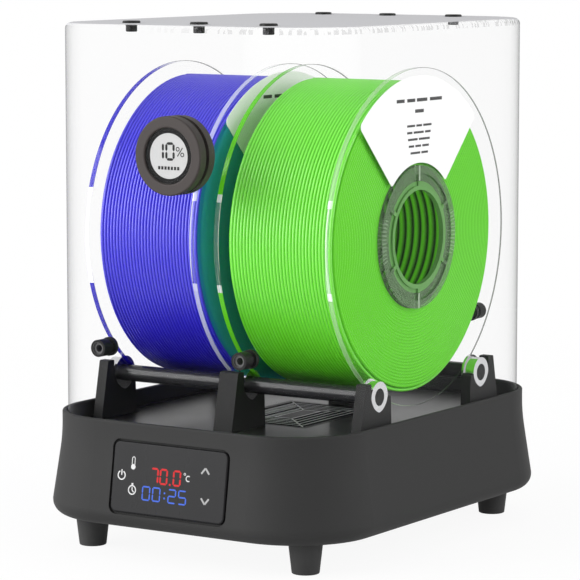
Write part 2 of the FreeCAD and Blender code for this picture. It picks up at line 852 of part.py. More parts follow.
def flange(hand):
    """Clear disc with a bead and a slot at its edge and a ribbed recess round the bore."""
    inner = winding_half()
    web = inner + flange_web
    outer = inner + flange_rim
    recess = outer - hub_recess
    recess_low = hub_bore + hub_wall
    recess_high = hub_radius - hub_wall
    step = flange_rim - flange_web
    side = sharp_face([(inner, hub_bore), (inner, reel_radius), (outer, reel_radius),
                       (outer, reel_radius - flange_bead), (web, reel_radius - flange_bead - step),
                       (web, hub_radius + flange_bead), (outer, hub_radius + flange_bead - step),
                       (outer, recess_high), (recess, recess_high), (recess, recess_low),
                       (outer, recess_low), (outer, hub_bore)], in_xz)
    disc = turned(side, origin, x_axis)
    ribs = []
    for index in range(hub_ribs):
        rib = box_between(vector(recess, -hub_rib_width / 2, recess_low - hub_wall / 2),
                          vector(outer, hub_rib_width / 2, recess_high + hub_wall / 2))
        ribs.append(rib.rotated(origin, x_axis, 360 * index / hub_ribs))
    disc = disc.multiFuse(ribs).cut(flange_slot()).removeSplitter()
    return disc if hand > 0 else disc.mirror(origin, x_axis)


def hub():
    """Two tubes joined by ribs, between the flanges."""
    half = winding_half()

    def tube(outer, inner):
        ring = Part.makeCylinder(outer, 2 * half, vector(-half, 0, 0), x_axis)
        return ring.cut(Part.makeCylinder(inner, 2 * half, vector(-half, 0, 0), x_axis))

    bore_tube = tube(hub_bore + hub_wall, hub_bore)
    drum_tube = tube(hub_radius, hub_radius - hub_wall)
    ribs = []
    for index in range(hub_ribs):
        rib = box_between(vector(-half, -hub_rib_width / 2, hub_bore + hub_wall / 2),
                          vector(half, hub_rib_width / 2, hub_radius - hub_wall / 2))
        ribs.append(rib.rotated(origin, x_axis, 360 * index / hub_ribs))
    return bore_tube.multiFuse([drum_tube] + ribs).removeSplitter()


def layer_radius():
    """Radius of the outer layer's strand centre."""
    return winding_radius - strand_radius


def filament_core():
    """The inner layers of the winding, as one ring."""
    half = winding_half() - seat_gap
    outer = layer_radius() - strand_radius - seat_gap
    ring = Part.makeCylinder(outer, 2 * half, vector(-half, 0, 0), x_axis)
    return ring.cut(Part.makeCylinder(hub_radius + seat_gap, 2 * half, vector(-half, 0, 0), x_axis))


def layer_pitch():
    """Advance of the outer layer per loop."""
    return (2 * (winding_half() - 2 * seat_gap) - strand_diameter) / winding_loops


def layer_point(turns):
    """Point and direction on the outer layer's helix after a number of turns."""
    angle = 2 * math.pi * turns
    radius = layer_radius()
    start = -(winding_loops * layer_pitch()) / 2
    point = vector(start + layer_pitch() * turns, radius * math.sin(angle), radius * math.cos(angle))
    step = vector(layer_pitch() / (2 * math.pi), radius * math.cos(angle), -radius * math.sin(angle))
    return point, step.normalize()


def tangent_arc(start, direction, end):
    """Arc from a start point and direction to an end point."""
    chord = end - start
    half_turn = direction.getAngle(chord) / 2
    bisector = (vector(chord.x, chord.y, chord.z).normalize() + direction).normalize()
    middle = start + bisector * (chord.Length / (2 * math.cos(half_turn)))
    return Part.Arc(start, middle, end).toShape()


def biarc(start, start_way, end, end_way):
    """Two arcs that leave one point and reach another along given directions."""
    chord = end - start
    ways = start_way + end_way
    spread = 2 * (1 - start_way.dot(end_way))
    along = chord.dot(ways)
    reach = (math.sqrt(along ** 2 + spread * chord.dot(chord)) - along) / spread
    middle = (start + end + (start_way - end_way) * reach) * 0.5
    back_way = vector(-end_way.x, -end_way.y, -end_way.z)
    return [tangent_arc(start, start_way, middle), tangent_arc(end, back_way, middle)]


def layer_self_gap(samples_per_turn):
    """Least gap between neighbouring loops of the outer layer, measured on points."""
    count = winding_loops * samples_per_turn
    points = [layer_point(index / samples_per_turn)[0] for index in range(count + 1)]
    least = 2 * reel_radius
    for index, point in enumerate(points):
        first = index + samples_per_turn // 2
        for other in points[first:first + samples_per_turn]:
            least = min(least, point.distanceToPoint(other))
    return least - strand_diameter


def strand_section(place, way):
    """Strand outline at its start: a regular polygon with a flat towards each flange."""
    across = (x_axis - way * x_axis.dot(way)).normalize()
    upward = way.cross(across)
    corners = []
    for index in range(strand_sides + 1):
        angle = 2 * math.pi * (index + 0.5) / strand_sides
        corners.append(place + (across * math.cos(angle) + upward * math.sin(angle)) * strand_radius)
    return Part.makePolygon(corners)


def filament_layer():
    """Outer layer: one unbroken strand wound side by side, with short straight ends."""
    first, first_way = layer_point(0)
    tail = first - first_way * strand_diameter
    edges = [Part.LineSegment(tail, first).toShape()]
    for index in range(2 * winding_loops):
        start, start_way = layer_point(index / 2)
        end, end_way = layer_point((index + 1) / 2)
        edges.extend(biarc(start, start_way, end, end_way))
    last, last_way = layer_point(winding_loops)
    edges.append(Part.LineSegment(last, last + last_way * strand_diameter).toShape())
    path = Part.Wire(edges)
    section = strand_section(tail, first_way)
    strand = path.makePipeShell([section], True, False)
    print("strand gap to itself", round(layer_self_gap(samples_per_turn=48), 3))
    print("strand volume over section times length",
          round(strand.Volume / (Part.Face(section).Area * path.Length), 5))
    return strand


def reel_label():
    """Paper sector with rounded corners on the right-hand flange, above the bore."""
    face_x = winding_half() + flange_web
    low = hub_radius + flange_bead + label_margin
    high = reel_radius - flange_bead - (flange_rim - flange_web) - label_margin
    half = math.radians(label_half_angle)

    def place(radius, angle):
        return vector(face_x, radius * math.sin(angle), radius * math.cos(angle))

    edges = [Part.Arc(place(high, -half), place(high, 0), place(high, half)).toShape(),
             Part.LineSegment(place(high, half), place(low, half)).toShape(),
             Part.Arc(place(low, half), place(low, 0), place(low, -half)).toShape(),
             Part.LineSegment(place(low, -half), place(high, -half)).toShape()]
    sector = Part.Face(Part.Wire(edges)).extrude(x_axis * label_thickness)
    for radius, corner_round in ((high, label_upper_round), (low, label_lower_round)):
        corner_z = radius * math.cos(half)
        corners = [edge for edge in sector.Edges
                   if all(abs(vertex.Z - corner_z) < edge_tolerance for vertex in edge.Vertexes)
                   and edge.BoundBox.XLength > label_thickness / 2]
        sector = sector.makeFillet(corner_round, corners)
    return sector


# Cover and what it carries

def plug_places():
    """Plug centres in the cover's top, by name."""
    names = ["left", "middle", "right"]
    places = {}
    for row, side in sides.items():
        for index in range(plug_columns):
            x = (index - (plug_columns - 1) / 2) * plug_pitch
            places[row + "_" + names[index]] = (x, side * (cover_half_y - plug_row_inset))
    return places


def clear_cover():
    """Deep clear box, open below, with holes for the plugs, outlets and gauge."""
    outer = cover_plan(0, cover_bottom_z, cover_top_z)
    rim = [edge for edge in outer.Edges if edge.BoundBox.ZMin > cover_top_z - edge_tolerance]
    outer = outer.makeFillet(cover_top_round, rim)
    cover = outer.cut(cover_plan(-cover_wall, cover_bottom_z, cover_inner_top_z))
    holes = []
    for x, y in plug_places().values():
        holes.append(upright_cylinder(plug_stem_radius + part_gap, cover_inner_top_z, cover_top_z, x, y))
    inner_y = cover_half_y - cover_wall
    for hand in (-1, 1):
        for side in sides.values():
            place = vector(hand * outlet_x, side * inner_y, outlet_height)
            holes.append(Part.makeCylinder(outlet_stem_radius + seat_gap, cover_wall, place, y_axis * side))
    gauge_place = vector(0, front * inner_y, gauge_height)
    holes.append(Part.makeCylinder(gauge_neck_radius + seat_gap, cover_wall, gauge_place, y_axis * front))
    return cover.cut(Part.makeCompound(holes))


def cover_seal():
    """Soft ring on the deck under the cover's lower edge."""
    profile = sharp_face([(-cover_wall - part_gap, deck_z), (0, deck_z), (0, cover_bottom_z),
                          (-cover_wall - part_gap, cover_bottom_z)], in_xz)
    return sweep_round_cover(profile)


def top_plug(x, y):
    """Rubber plug with a thin domed head and a plain stem."""
    side = rounded_face([(0, -plug_stem_length, 0), (plug_stem_radius, -plug_stem_length, plug_stem_round),
                         (plug_stem_radius, 0, 0), (plug_head_radius, 0, 0),
                         (plug_head_radius, plug_head, plug_head_round), (0, plug_head, 0)], in_xz)
    return turned(side, origin, z_axis).translated(vector(x, y, cover_top_z))


def along_wall(shape, side, x, z):
    """Turn a piece drawn along +Y, with the wall's outer face at zero, to the front or rear wall."""
    if side < 0:
        shape = shape.rotated(origin, z_axis, 180)
    return shape.translated(vector(x, side * cover_half_y, z))


def tube_outlet(side, hand):
    """Tube outlet: a collar outside, a nut inside and a bore for a 4 mm tube."""
    nut_end = -cover_wall - outlet_nut
    recess_floor = outlet_collar_length - outlet_recess_depth
    body = sharp_face([(outlet_bore, nut_end), (outlet_nut_radius, nut_end),
                       (outlet_nut_radius, -cover_wall), (outlet_stem_radius, -cover_wall),
                       (outlet_stem_radius, 0), (outlet_collar_radius, 0),
                       (outlet_collar_radius, outlet_collar_length),
                       (outlet_recess_radius, outlet_collar_length),
                       (outlet_recess_radius, recess_floor), (outlet_bore, recess_floor)], in_xy)
    return along_wall(turned(body, origin, y_axis), side, hand * outlet_x, outlet_height)


def gauge_housing():
    """Round gauge body: a bezel outside the wall and a neck through it."""
    body = rounded_face([(0, -gauge_neck_length, 0), (gauge_neck_radius, -gauge_neck_length, 0),
                         (gauge_neck_radius, 0, 0), (gauge_bezel_radius, 0, 0),
                         (gauge_bezel_radius, gauge_bezel, gauge_bezel_round),
                         (gauge_window_radius, gauge_bezel, gauge_bezel_round),
                         (gauge_window_radius, gauge_bezel - gauge_window_depth, 0),
                         (0, gauge_bezel - gauge_window_depth, 0)], in_xy)
    return along_wall(turned(body, origin, y_axis), front, 0, gauge_height)


def gauge_disc(low, thickness):
    """Disc in the gauge's window, at a height above the window's floor."""
    floor = gauge_bezel - gauge_window_depth
    disc = Part.makeCylinder(gauge_window_radius - seat_gap, thickness, vector(0, floor + low, 0), y_axis)
    return along_wall(disc, front, 0, gauge_height)


def gauge_lock_ring():
    """Ring behind the wall that clamps the gauge, with a notch at its top."""
    end = -cover_wall - gauge_ring
    ring = Part.makeCylinder(gauge_bezel_radius, gauge_ring, vector(0, end, 0), y_axis)
    neck = Part.makeCylinder(gauge_neck_radius + seat_gap, gauge_ring, vector(0, end, 0), y_axis)
    half_notch = gauge_ring_notch / 2
    notch = box_between(vector(-half_notch, end, gauge_neck_radius),
                        vector(half_notch, end + gauge_ring_notch_depth, gauge_bezel_radius))
    return along_wall(ring.cut(neck).cut(notch), front, 0, gauge_height)


def main():
    """Make every node and write it to the parts folder."""
    os.makedirs("parts", exist_ok=True)
    nodes = {
        "base_shell": base_shell(),
        "chamber_deck": chamber_deck(),
        "air_grille": air_grille(),
        "bottom_plate": bottom_plate(),
        "feet": feet(),
        "base_screws": base_screws(),
        "bracket_screws": bracket_screws(),
        "control_panel": control_panel(),
        "panel_board": panel_board(),
        "fan_frame": fan_frame(),
        "fan_rotor": fan_rotor(),
        "heater": heater(),
        "temperature_probe": temperature_probe(),
        "power_board": power_board(),
        "power_inlet": power_inlet(),
        "clear_cover": clear_cover(),
        "cover_seal": cover_seal(),
        "gauge_housing": gauge_housing(),
        "gauge_display": gauge_disc(0, gauge_display),
        "gauge_lens": gauge_disc(gauge_display, gauge_lens),
        "gauge_lock_ring": gauge_lock_ring(),
    }
    half = middle_bracket_thickness / 2
    near = side_bracket_x
    far = side_bracket_x + bracket_thickness
    hands = {"left": -1, "right": 1}
    for row, side in sides.items():
        nodes[row + "_left_bracket"] = bracket(side, -far, -near, [(-far, -near)])
        nodes[row + "_middle_bracket"] = bracket(side, -half, half, middle_seat_spans())
        nodes[row + "_right_bracket"] = bracket(side, near, far, [(near, far)])
        nodes[row + "_middle_bushes"] = middle_bushes(side)
        for name, hand in hands.items():
            nodes[row + "_" + name + "_bush"] = side_bush(side, hand)
            nodes[row + "_" + name + "_roller"] = roller(side, hand)
            nodes[row + "_" + name + "_outlet"] = tube_outlet(side, hand)
    for name, (x, y) in plug_places().items():
        nodes[name + "_plug"] = top_plug(x, y)
    strand = filament_layer()
    for name, hand in hands.items():
        pieces = {"right_flange": flange(1), "left_flange": flange(-1), "hub": hub(),
                  "filament_core": filament_core(), "filament_layer": strand, "label": reel_label()}
        for piece, shape in pieces.items():
            nodes[name + "_reel_" + piece] = on_reel_axis(shape, hand * reel_middle)
    for name, shape in nodes.items():
        save(name, shape)
    print(len(nodes), "nodes")


main()
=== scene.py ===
import math

import bpy
import numpy as np
from bpy.props import FloatProperty, FloatVectorProperty, IntProperty, PointerProperty
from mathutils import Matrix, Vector


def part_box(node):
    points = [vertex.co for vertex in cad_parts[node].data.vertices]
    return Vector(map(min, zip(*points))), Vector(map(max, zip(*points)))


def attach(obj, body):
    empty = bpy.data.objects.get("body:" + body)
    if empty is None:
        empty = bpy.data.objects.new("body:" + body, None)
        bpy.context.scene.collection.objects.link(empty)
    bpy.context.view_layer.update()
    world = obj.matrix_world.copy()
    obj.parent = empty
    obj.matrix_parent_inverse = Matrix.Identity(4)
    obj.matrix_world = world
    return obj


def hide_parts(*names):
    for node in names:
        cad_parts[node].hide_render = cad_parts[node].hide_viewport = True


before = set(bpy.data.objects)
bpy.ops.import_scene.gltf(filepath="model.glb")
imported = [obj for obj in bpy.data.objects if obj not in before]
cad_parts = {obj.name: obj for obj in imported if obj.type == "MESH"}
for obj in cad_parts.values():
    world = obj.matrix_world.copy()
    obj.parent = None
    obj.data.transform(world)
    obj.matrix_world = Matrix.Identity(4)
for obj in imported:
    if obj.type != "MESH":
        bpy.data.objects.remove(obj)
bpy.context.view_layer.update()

bl_info = {
    "name": "Filament Dryer Box Looks",
    "version": (1, 0, 0),
    "blender": (4, 5, 0),
    "location": "View3D > Sidebar > Dryer Box",
    "description": "Finishes, windings, markings and a plain studio for the filament dryer box",
    "category": "Object",
}

mm = 0.001
STRANDS = {"left_reel": "blue", "right_reel": "green"}
REELS = tuple(STRANDS)
ROWS = ("front", "rear")
HANDS = ("left", "right")
PLACES = ("left", "middle", "right")

# Where patterns lie on the CAD nodes
COVER_CORNER = 43.5 * mm
GRILLE_HALF = (29 * mm, 39 * mm)
GRILLE_STEP = 4.7 * mm
GRILLE_RINGS = 5
GLAND_RADIUS = 3.6 * mm
SCREEN_RADIUS = 13 * mm
RIM_SLOT_ANGLE = math.radians(16.6)
# Grey that the clear flanges show at a low angle: painted reflection.
GRAZING_REFLECTION_GREY = (0.30, 0.31, 0.31)


# Settings

def colour_property(name, description, colour):
    """A colour a user would change, in linear light."""
    return FloatVectorProperty(name=name, description=description, subtype="COLOR", size=3, min=0, max=1,
                               default=colour)


def length_property(name, description, length):
    """A length a user would change, in metres."""
    return FloatProperty(name=name, description=description, unit="LENGTH", min=0, default=length)


class DryerColours(bpy.types.PropertyGroup):
    """Colours of the box's finishes."""

    housing: colour_property("Housing", "Moulded plastic of base, deck and brackets", (0.028, 0.028, 0.028))
    foot: colour_property("Foot", "Rubber of the feet", (0.036, 0.036, 0.036))
    panel: colour_property("Panel", "Gloss plate of the touch panel", (0.013, 0.013, 0.014))
    gauge: colour_property("Gauge", "Housing of the humidity gauge", (0.041, 0.034, 0.032))
    roller: colour_property("Roller", "Sleeved roller bars", (0.020, 0.020, 0.022))
    bush: colour_property("Bush", "Bright plating round the roller ends", (0.70, 0.70, 0.71))
    rubber: colour_property("Rubber", "Plugs, seal and outlet collars", (0.012, 0.012, 0.012))
    # This grey shows at a low angle, lighter on the cover's top, as a painted reflection.
    clear: colour_property("Clear plastic", "Edge tint of the clear cover", (0.17, 0.17, 0.175))
    blue: colour_property("Left filament", "Strand on the left reel", (0.020, 0.010, 0.58))
    green: colour_property("Right filament", "Strand on the right reel", (0.135, 0.67, 0.016))
    digits_red: colour_property("Temperature digits", "Lit digits of the upper row", (0.50, 0.010, 0.013))
    digits_blue: colour_property("Time digits", "Lit digits of the lower row", (0.045, 0.115, 0.56))


class DryerSizes(bpy.types.PropertyGroup):
    """Sizes of the windings and markings."""

    strand_turns: IntProperty(name="Strand turns", description="Turns of the outer layer", min=24, default=31)
    turn_segments: IntProperty(name="Turn segments", description="Steps round one turn", min=48, default=112)
    ring_pitch: length_property("Ring pitch", "Step between turns on a winding's side", 1.8 * mm)
    ring_depth: length_property("Ring depth", "Depth of the grooves on a winding's side", 0.42 * mm)
    ridge_pitch: length_property("Ridge pitch", "Step between ridges in a winding's bore", 5.2 * mm)
    ridge_depth: length_property("Ridge depth", "Depth of the ridges in a winding's bore", 1.8 * mm)
    mark_height: length_property("Mark height", "How far printed and lit marks stand proud", 0.05 * mm)


class DryerStudio(bpy.types.PropertyGroup):
    """Camera and light of the studio."""

    camera_azimuth: FloatProperty(name="Camera azimuth", description="Turn of the view from the front",
                                  subtype="ANGLE", default=math.radians(33.018))
    camera_elevation: FloatProperty(name="Camera elevation", description="View above the horizon",
                                    subtype="ANGLE", default=math.radians(6.849))
    camera_place: FloatVectorProperty(name="Camera place", description="Where the camera stands",
                                      subtype="TRANSLATION", size=3, default=(0.99275, -1.53617, 0.3662))
    camera_lens: FloatProperty(name="Lens", description="Focal length", unit="CAMERA", default=188.4)
    ambient: FloatProperty(name="Ambient", description="Light from all round", min=0, default=0.53)
    key_power: FloatProperty(name="Key power", description="Watts of the softbox at the front left",
                             min=0, default=90)
    side_power: FloatProperty(name="Side power", description="Watts of the softbox at the right",
                              min=0, default=25)
    top_power: FloatProperty(name="Top power", description="Watts of the softbox overhead", min=0, default=4)


class DryerLooks(bpy.types.PropertyGroup):
    """All settings of the dryer box's looks."""

    colours: PointerProperty(type=DryerColours)
    sizes: PointerProperty(type=DryerSizes)
    studio: PointerProperty(type=DryerStudio)


# Shader expressions

def math_method(operation, reflected=False):
    """A method of Signal that adds one Math node. Reflected, the signal is the node's last value."""
    def method(self, *others):
        values = (*others, self) if reflected else (self, *others)
        return self.math(operation, *values)
    return method


class Signal:
    """A socket in a node tree. Arithmetic on it adds Math nodes."""

    def __init__(self, tree, socket):
        self.tree = tree
        self.socket = socket

    def math(self, operation, *values):
        inputs = dict(enumerate(values))
        return self.tree.add("ShaderNodeMath", {"operation": operation}, inputs)

    __add__ = math_method("ADD")
    __radd__ = math_method("ADD", True)
    __sub__ = math_method("SUBTRACT")
    __rsub__ = math_method("SUBTRACT", True)
    __mul__ = math_method("MULTIPLY")
    __rmul__ = math_method("MULTIPLY", True)
    __truediv__ = math_method("DIVIDE")
    __rtruediv__ = math_method("DIVIDE", True)
    __pow__ = math_method("POWER")
    above = math_method("GREATER_THAN")
    below = math_method("LESS_THAN")
    at_least = math_method("MAXIMUM")
    at_most = math_method("MINIMUM")
    absolute = math_method("ABSOLUTE")
    root = math_method("SQRT")
    sine = math_method("SINE")
    fraction = math_method("FRACT")

    def step(self, low, high):
        """Smooth rise from 0 at low to 1 at high."""
        return self.tree.add("ShaderNodeMapRange", {"interpolation_type": "SMOOTHSTEP"},
                             {"Value": self, "From Min": low, "From Max": high})


class NodeTree:
    """A node tree that is written as expressions."""

    def __init__(self, owner):
        owner.use_nodes = True
        self.owner = owner
        self.tree = owner.node_tree
        self.tree.nodes.clear()

    def add(self, kind, settings=None, inputs=None, output=0):
        """Adds one node: its settings first, then its sockets' values or links."""
        node = self.tree.nodes.new(kind)
        for name, value in (settings or {}).items():
            setattr(node, name, value)
        for name, value in (inputs or {}).items():
            if isinstance(value, Signal):
                self.tree.links.new(value.socket, node.inputs[name])
            else:
                node.inputs[name].default_value = value
        return Signal(self, node.outputs[output]) if len(node.outputs) else node

    def place(self):
        """Object coordinates as three values."""
        point = self.add("ShaderNodeTexCoord", output="Object")
        parts = self.add("ShaderNodeSeparateXYZ", inputs={0: point})
        return [Signal(self, parts.socket.node.outputs[axis]) for axis in range(3)]

    def noise(self, scale, detail=2.0, stretch=(1, 1, 1)):
        """Noise of 0 to 1 on Object coordinates, with cycles per metre as scale."""
        point = self.add("ShaderNodeTexCoord", output="Object")
        turned = self.add("ShaderNodeMapping", inputs={"Vector": point, "Scale": stretch})
        return self.add("ShaderNodeTexNoise", inputs={"Vector": turned, "Scale": scale, "Detail": detail})

    def blend(self, factor, low, high):
        """Mix of two colours."""
        low, high = (colour if isinstance(colour, Signal) else (*colour, 1) for colour in (low, high))
        return self.add("ShaderNodeMix", {"data_type": "RGBA"}, {0: factor, 6: low, 7: high}, 2)

    def facing(self):
        """0 where a surface is seen face on, rising to 1 at its edge."""
        return self.add("ShaderNodeLayerWeight", inputs={"Blend": 0.5}, output="Facing")

    def bump(self, height, depth, strength=1.0):
        """Surface relief from a height of 0 to 1 and a depth in metres."""
        return self.add("ShaderNodeBump", inputs={"Height": height, "Distance": depth, "Strength": strength})


class Finish(NodeTree):
    """A material with one principled shader."""

    def __init__(self, name):
        super().__init__(bpy.data.materials.new(name))

    def vary(self, factor, colour, low, high):
        """A colour that goes from a darker to a lighter share of itself."""
        return self.blend(factor, shaded(colour, low), shaded(colour, high))

    def surface(self, **sockets):
        """Puts a principled shader with these sockets on the output, and gives the material."""
        named = {name.replace("_", " "): value for name, value in sockets.items()}
        named["Specular IOR Level"] = named.pop("Specular", 0.5)
        shader = self.add("ShaderNodeBsdfPrincipled", inputs=named)
        self.add("ShaderNodeOutputMaterial", inputs={"Surface": shader})
        return self.owner


def shaded(colour, factor):
    """A colour made lighter or darker."""
    return tuple(min(1.0, part * factor) for part in colour)


def span(across, upward):
    """Length of the line that reaches so far across and so far upward."""
    return ((across ** 2) + (upward ** 2)).root()


def tinted(grey, colour, share):
    """A grey with a share of a colour on top."""
    return tuple(min(1.0, grey + share * part) for part in colour)


# Finishes

def moulded_plastic(name, colour, roughness=0.62, specular=0.14, grain=0.45 * mm, depth=0.02 * mm):
    """Spark-eroded moulding: fine even grain, a faint cloud in colour and gloss."""
    finish = Finish(name)
    cloud = finish.noise(18, 3)
    speck = finish.noise(1 / grain, 2)
    tone = finish.vary(cloud * 0.6 + speck * 0.4, colour, 0.86, 1.14)
    rough = roughness - 0.08 + cloud * 0.1 + speck * 0.06
    return finish.surface(Base_Color=tone, Roughness=rough, Specular=specular,
                          Normal=finish.bump(speck, depth, 0.5))


def ribbed_plastic(name, colour, crest_highlight):
    """Louvre grille: a frame in a darker copy of the housing colour as painted shade, with a painted
    highlight along each rib's crest and mitre. The ribs lie in nested rectangles, so their place is the
    distance in from the opening's nearest side."""
    crest_start = 0.72
    mitre_half = 0.7 * mm
    finish = Finish(name)
    x, y, _ = finish.place()
    from_side = GRILLE_HALF[0] - x.absolute()
    from_end = GRILLE_HALF[1] - y.absolute()
    inward = from_side.at_most(from_end)
    rib = (inward / GRILLE_STEP).fraction().above(crest_start)
    mitre = (from_side - from_end).absolute().below(mitre_half)
    crest = rib.at_least(mitre) * inward.above(0) * inward.below(GRILLE_RINGS * GRILLE_STEP)
    speck = finish.noise(2200, 2)
    # The frame's dark tone is painted shade; the pale crests are painted highlights.
    frame_tone = finish.vary(speck, colour, 0.86, 1.14)
    tone = finish.blend(crest, frame_tone, crest_highlight)
    return finish.surface(Base_Color=tone, Roughness=0.4 + speck * 0.1, Specular=0.2)


def soft_rubber(name, colour, roughness=0.7):
    """Rubber: dull, with a slight bloom and a coarse skin."""
    finish = Finish(name)
    bloom = finish.noise(60, 4)
    skin = finish.noise(1400, 2)
    tone = finish.vary(bloom, colour, 0.8, 1.35)
    return finish.surface(Base_Color=tone, Roughness=roughness - 0.1 + bloom * 0.2, Specular=0.2,
                          Normal=finish.bump(skin, 0.03 * mm, 0.6))


def brushed_metal(name, colour, roughness=0.34, stretch=(0.04, 1, 1)):
    """Drawn or brushed metal: fine lines along one axis."""
    finish = Finish(name)
    lines = finish.noise(2600, 3, stretch)
    tone = finish.vary(lines, colour, 0.82, 1.12)
    return finish.surface(Base_Color=tone, Metallic=1.0, Roughness=roughness - 0.08 + lines * 0.16,
                          Normal=finish.bump(lines, 0.01 * mm, 0.4))


def roller_sleeve(name, colour):
    """Roller bar: satin sleeve with faint turned rings."""
    finish = Finish(name)
    rings = finish.noise(900, 2, (1, 0.02, 0.02))
    tone = finish.vary(rings, colour, 0.85, 1.15)
    return finish.surface(Base_Color=tone, Roughness=0.16 + rings * 0.1, Specular=0.35,
                          Normal=finish.bump(rings, 0.01 * mm, 0.4))


def circuit_board(name):
    """Green solder mask with tracks and pale pads."""
    finish = Finish(name)
    point = finish.add("ShaderNodeTexCoord", output="Object")
    tracks = finish.add("ShaderNodeTexBrick", inputs={"Vector": point, "Scale": 160.0, "Mortar Size": 0.06},
                        output="Fac")
    cloud = finish.noise(90, 3)
    mask = finish.blend(cloud, (0.008, 0.065, 0.022), (0.014, 0.10, 0.036))
    tone = finish.blend(tracks, mask, (0.05, 0.20, 0.07))
    return finish.surface(Base_Color=tone, Roughness=0.32 + cloud * 0.12, Specular=0.5)


def panel_gloss(name, colour):
    """Touch panel: gloss plate with a faint smear of handling."""
    finish = Finish(name)
    smear = finish.noise(38, 4, (1, 1, 0.5))
    tone = finish.vary(smear, colour, 0.92, 1.08)
    return finish.surface(Base_Color=tone, Roughness=0.2 + smear * 0.16, Specular=0.1, Coat_Weight=0.03,
                          Coat_Roughness=0.06)


def bright_plating(name, colour):
    """Bright-plated bearing plastic with a faint cloud in its gloss."""
    finish = Finish(name)
    cloud = finish.noise(150, 3)
    tone = finish.vary(cloud, colour, 0.94, 1.05)
    return finish.surface(Base_Color=tone, Metallic=1.0, Roughness=0.14 + cloud * 0.08)


def outlet_plastic(name, colour, axis_x, axis_z, face_radius):
    """Tube outlet: black collar with a grey gland in its middle."""
    finish = Finish(name)
    x, _, z = finish.place()
    far = span(x.absolute() - axis_x, z - axis_z)
    gland = far.below(face_radius)
    speck = finish.noise(1600)
    tone = finish.blend(gland, colour, (0.10, 0.10, 0.102))
    return finish.surface(Base_Color=tone, Roughness=0.4 + speck * 0.15, Specular=0.12,
                          Normal=finish.bump(speck, 0.015 * mm, 0.5))


def clear_cover(name, colour, half_x, half_y, corner, top_z):
    """Clear moulded cover: see-through face on. Its outer skin turns grey at a low angle, most on the top, as
    a painted reflection, and a broken band of painted reflection streaks runs under the top's edge."""
    skin_depth = 1.5 * mm
    streak_low = top_z - 4.2 * mm
    streak_high = top_z - 0.6 * mm
    streak_fade = 0.3 * mm
    finish = Finish(name)
    x, y, z = finish.place()
    facing = finish.facing()
    haze = finish.noise(24, 3)
    out_x = (x.absolute() - (half_x - corner)).at_least(0.0)
    out_y = (y.absolute() - (half_y - corner)).at_least(0.0)
    skin = span(out_x, out_y).above(corner - skin_depth)
    top = z.above(top_z - skin_depth)
    # Painted reflection streaks: a broken band of bars just under the top's edge.
    bars = finish.noise(420, 0, (1, 1, 0.001)).step(0.52, 0.56) * x.step(-30 * mm, 50 * mm)
    reflection_streaks = z.step(streak_low, streak_low + streak_fade) * z.below(streak_high) * skin
    # The grey that rises at a low angle, strongest on the top, is painted reflection.
    alpha = (0.001 + top * (facing ** 7) * 2.2 + skin * (1 - top) * (facing ** 4) * 0.75
             + reflection_streaks * bars * 0.24 + haze * 0.002)
    tone = finish.vary(haze, colour, 0.94, 1.06)
    # The top's lighter grey is painted reflection.
    tone = finish.blend(top, tone, shaded(colour, 3.15))
    return finish.surface(Base_Color=tone, Roughness=0.08 + haze * 0.05, Specular=0.0,
                          Alpha=alpha.at_most(1.0))


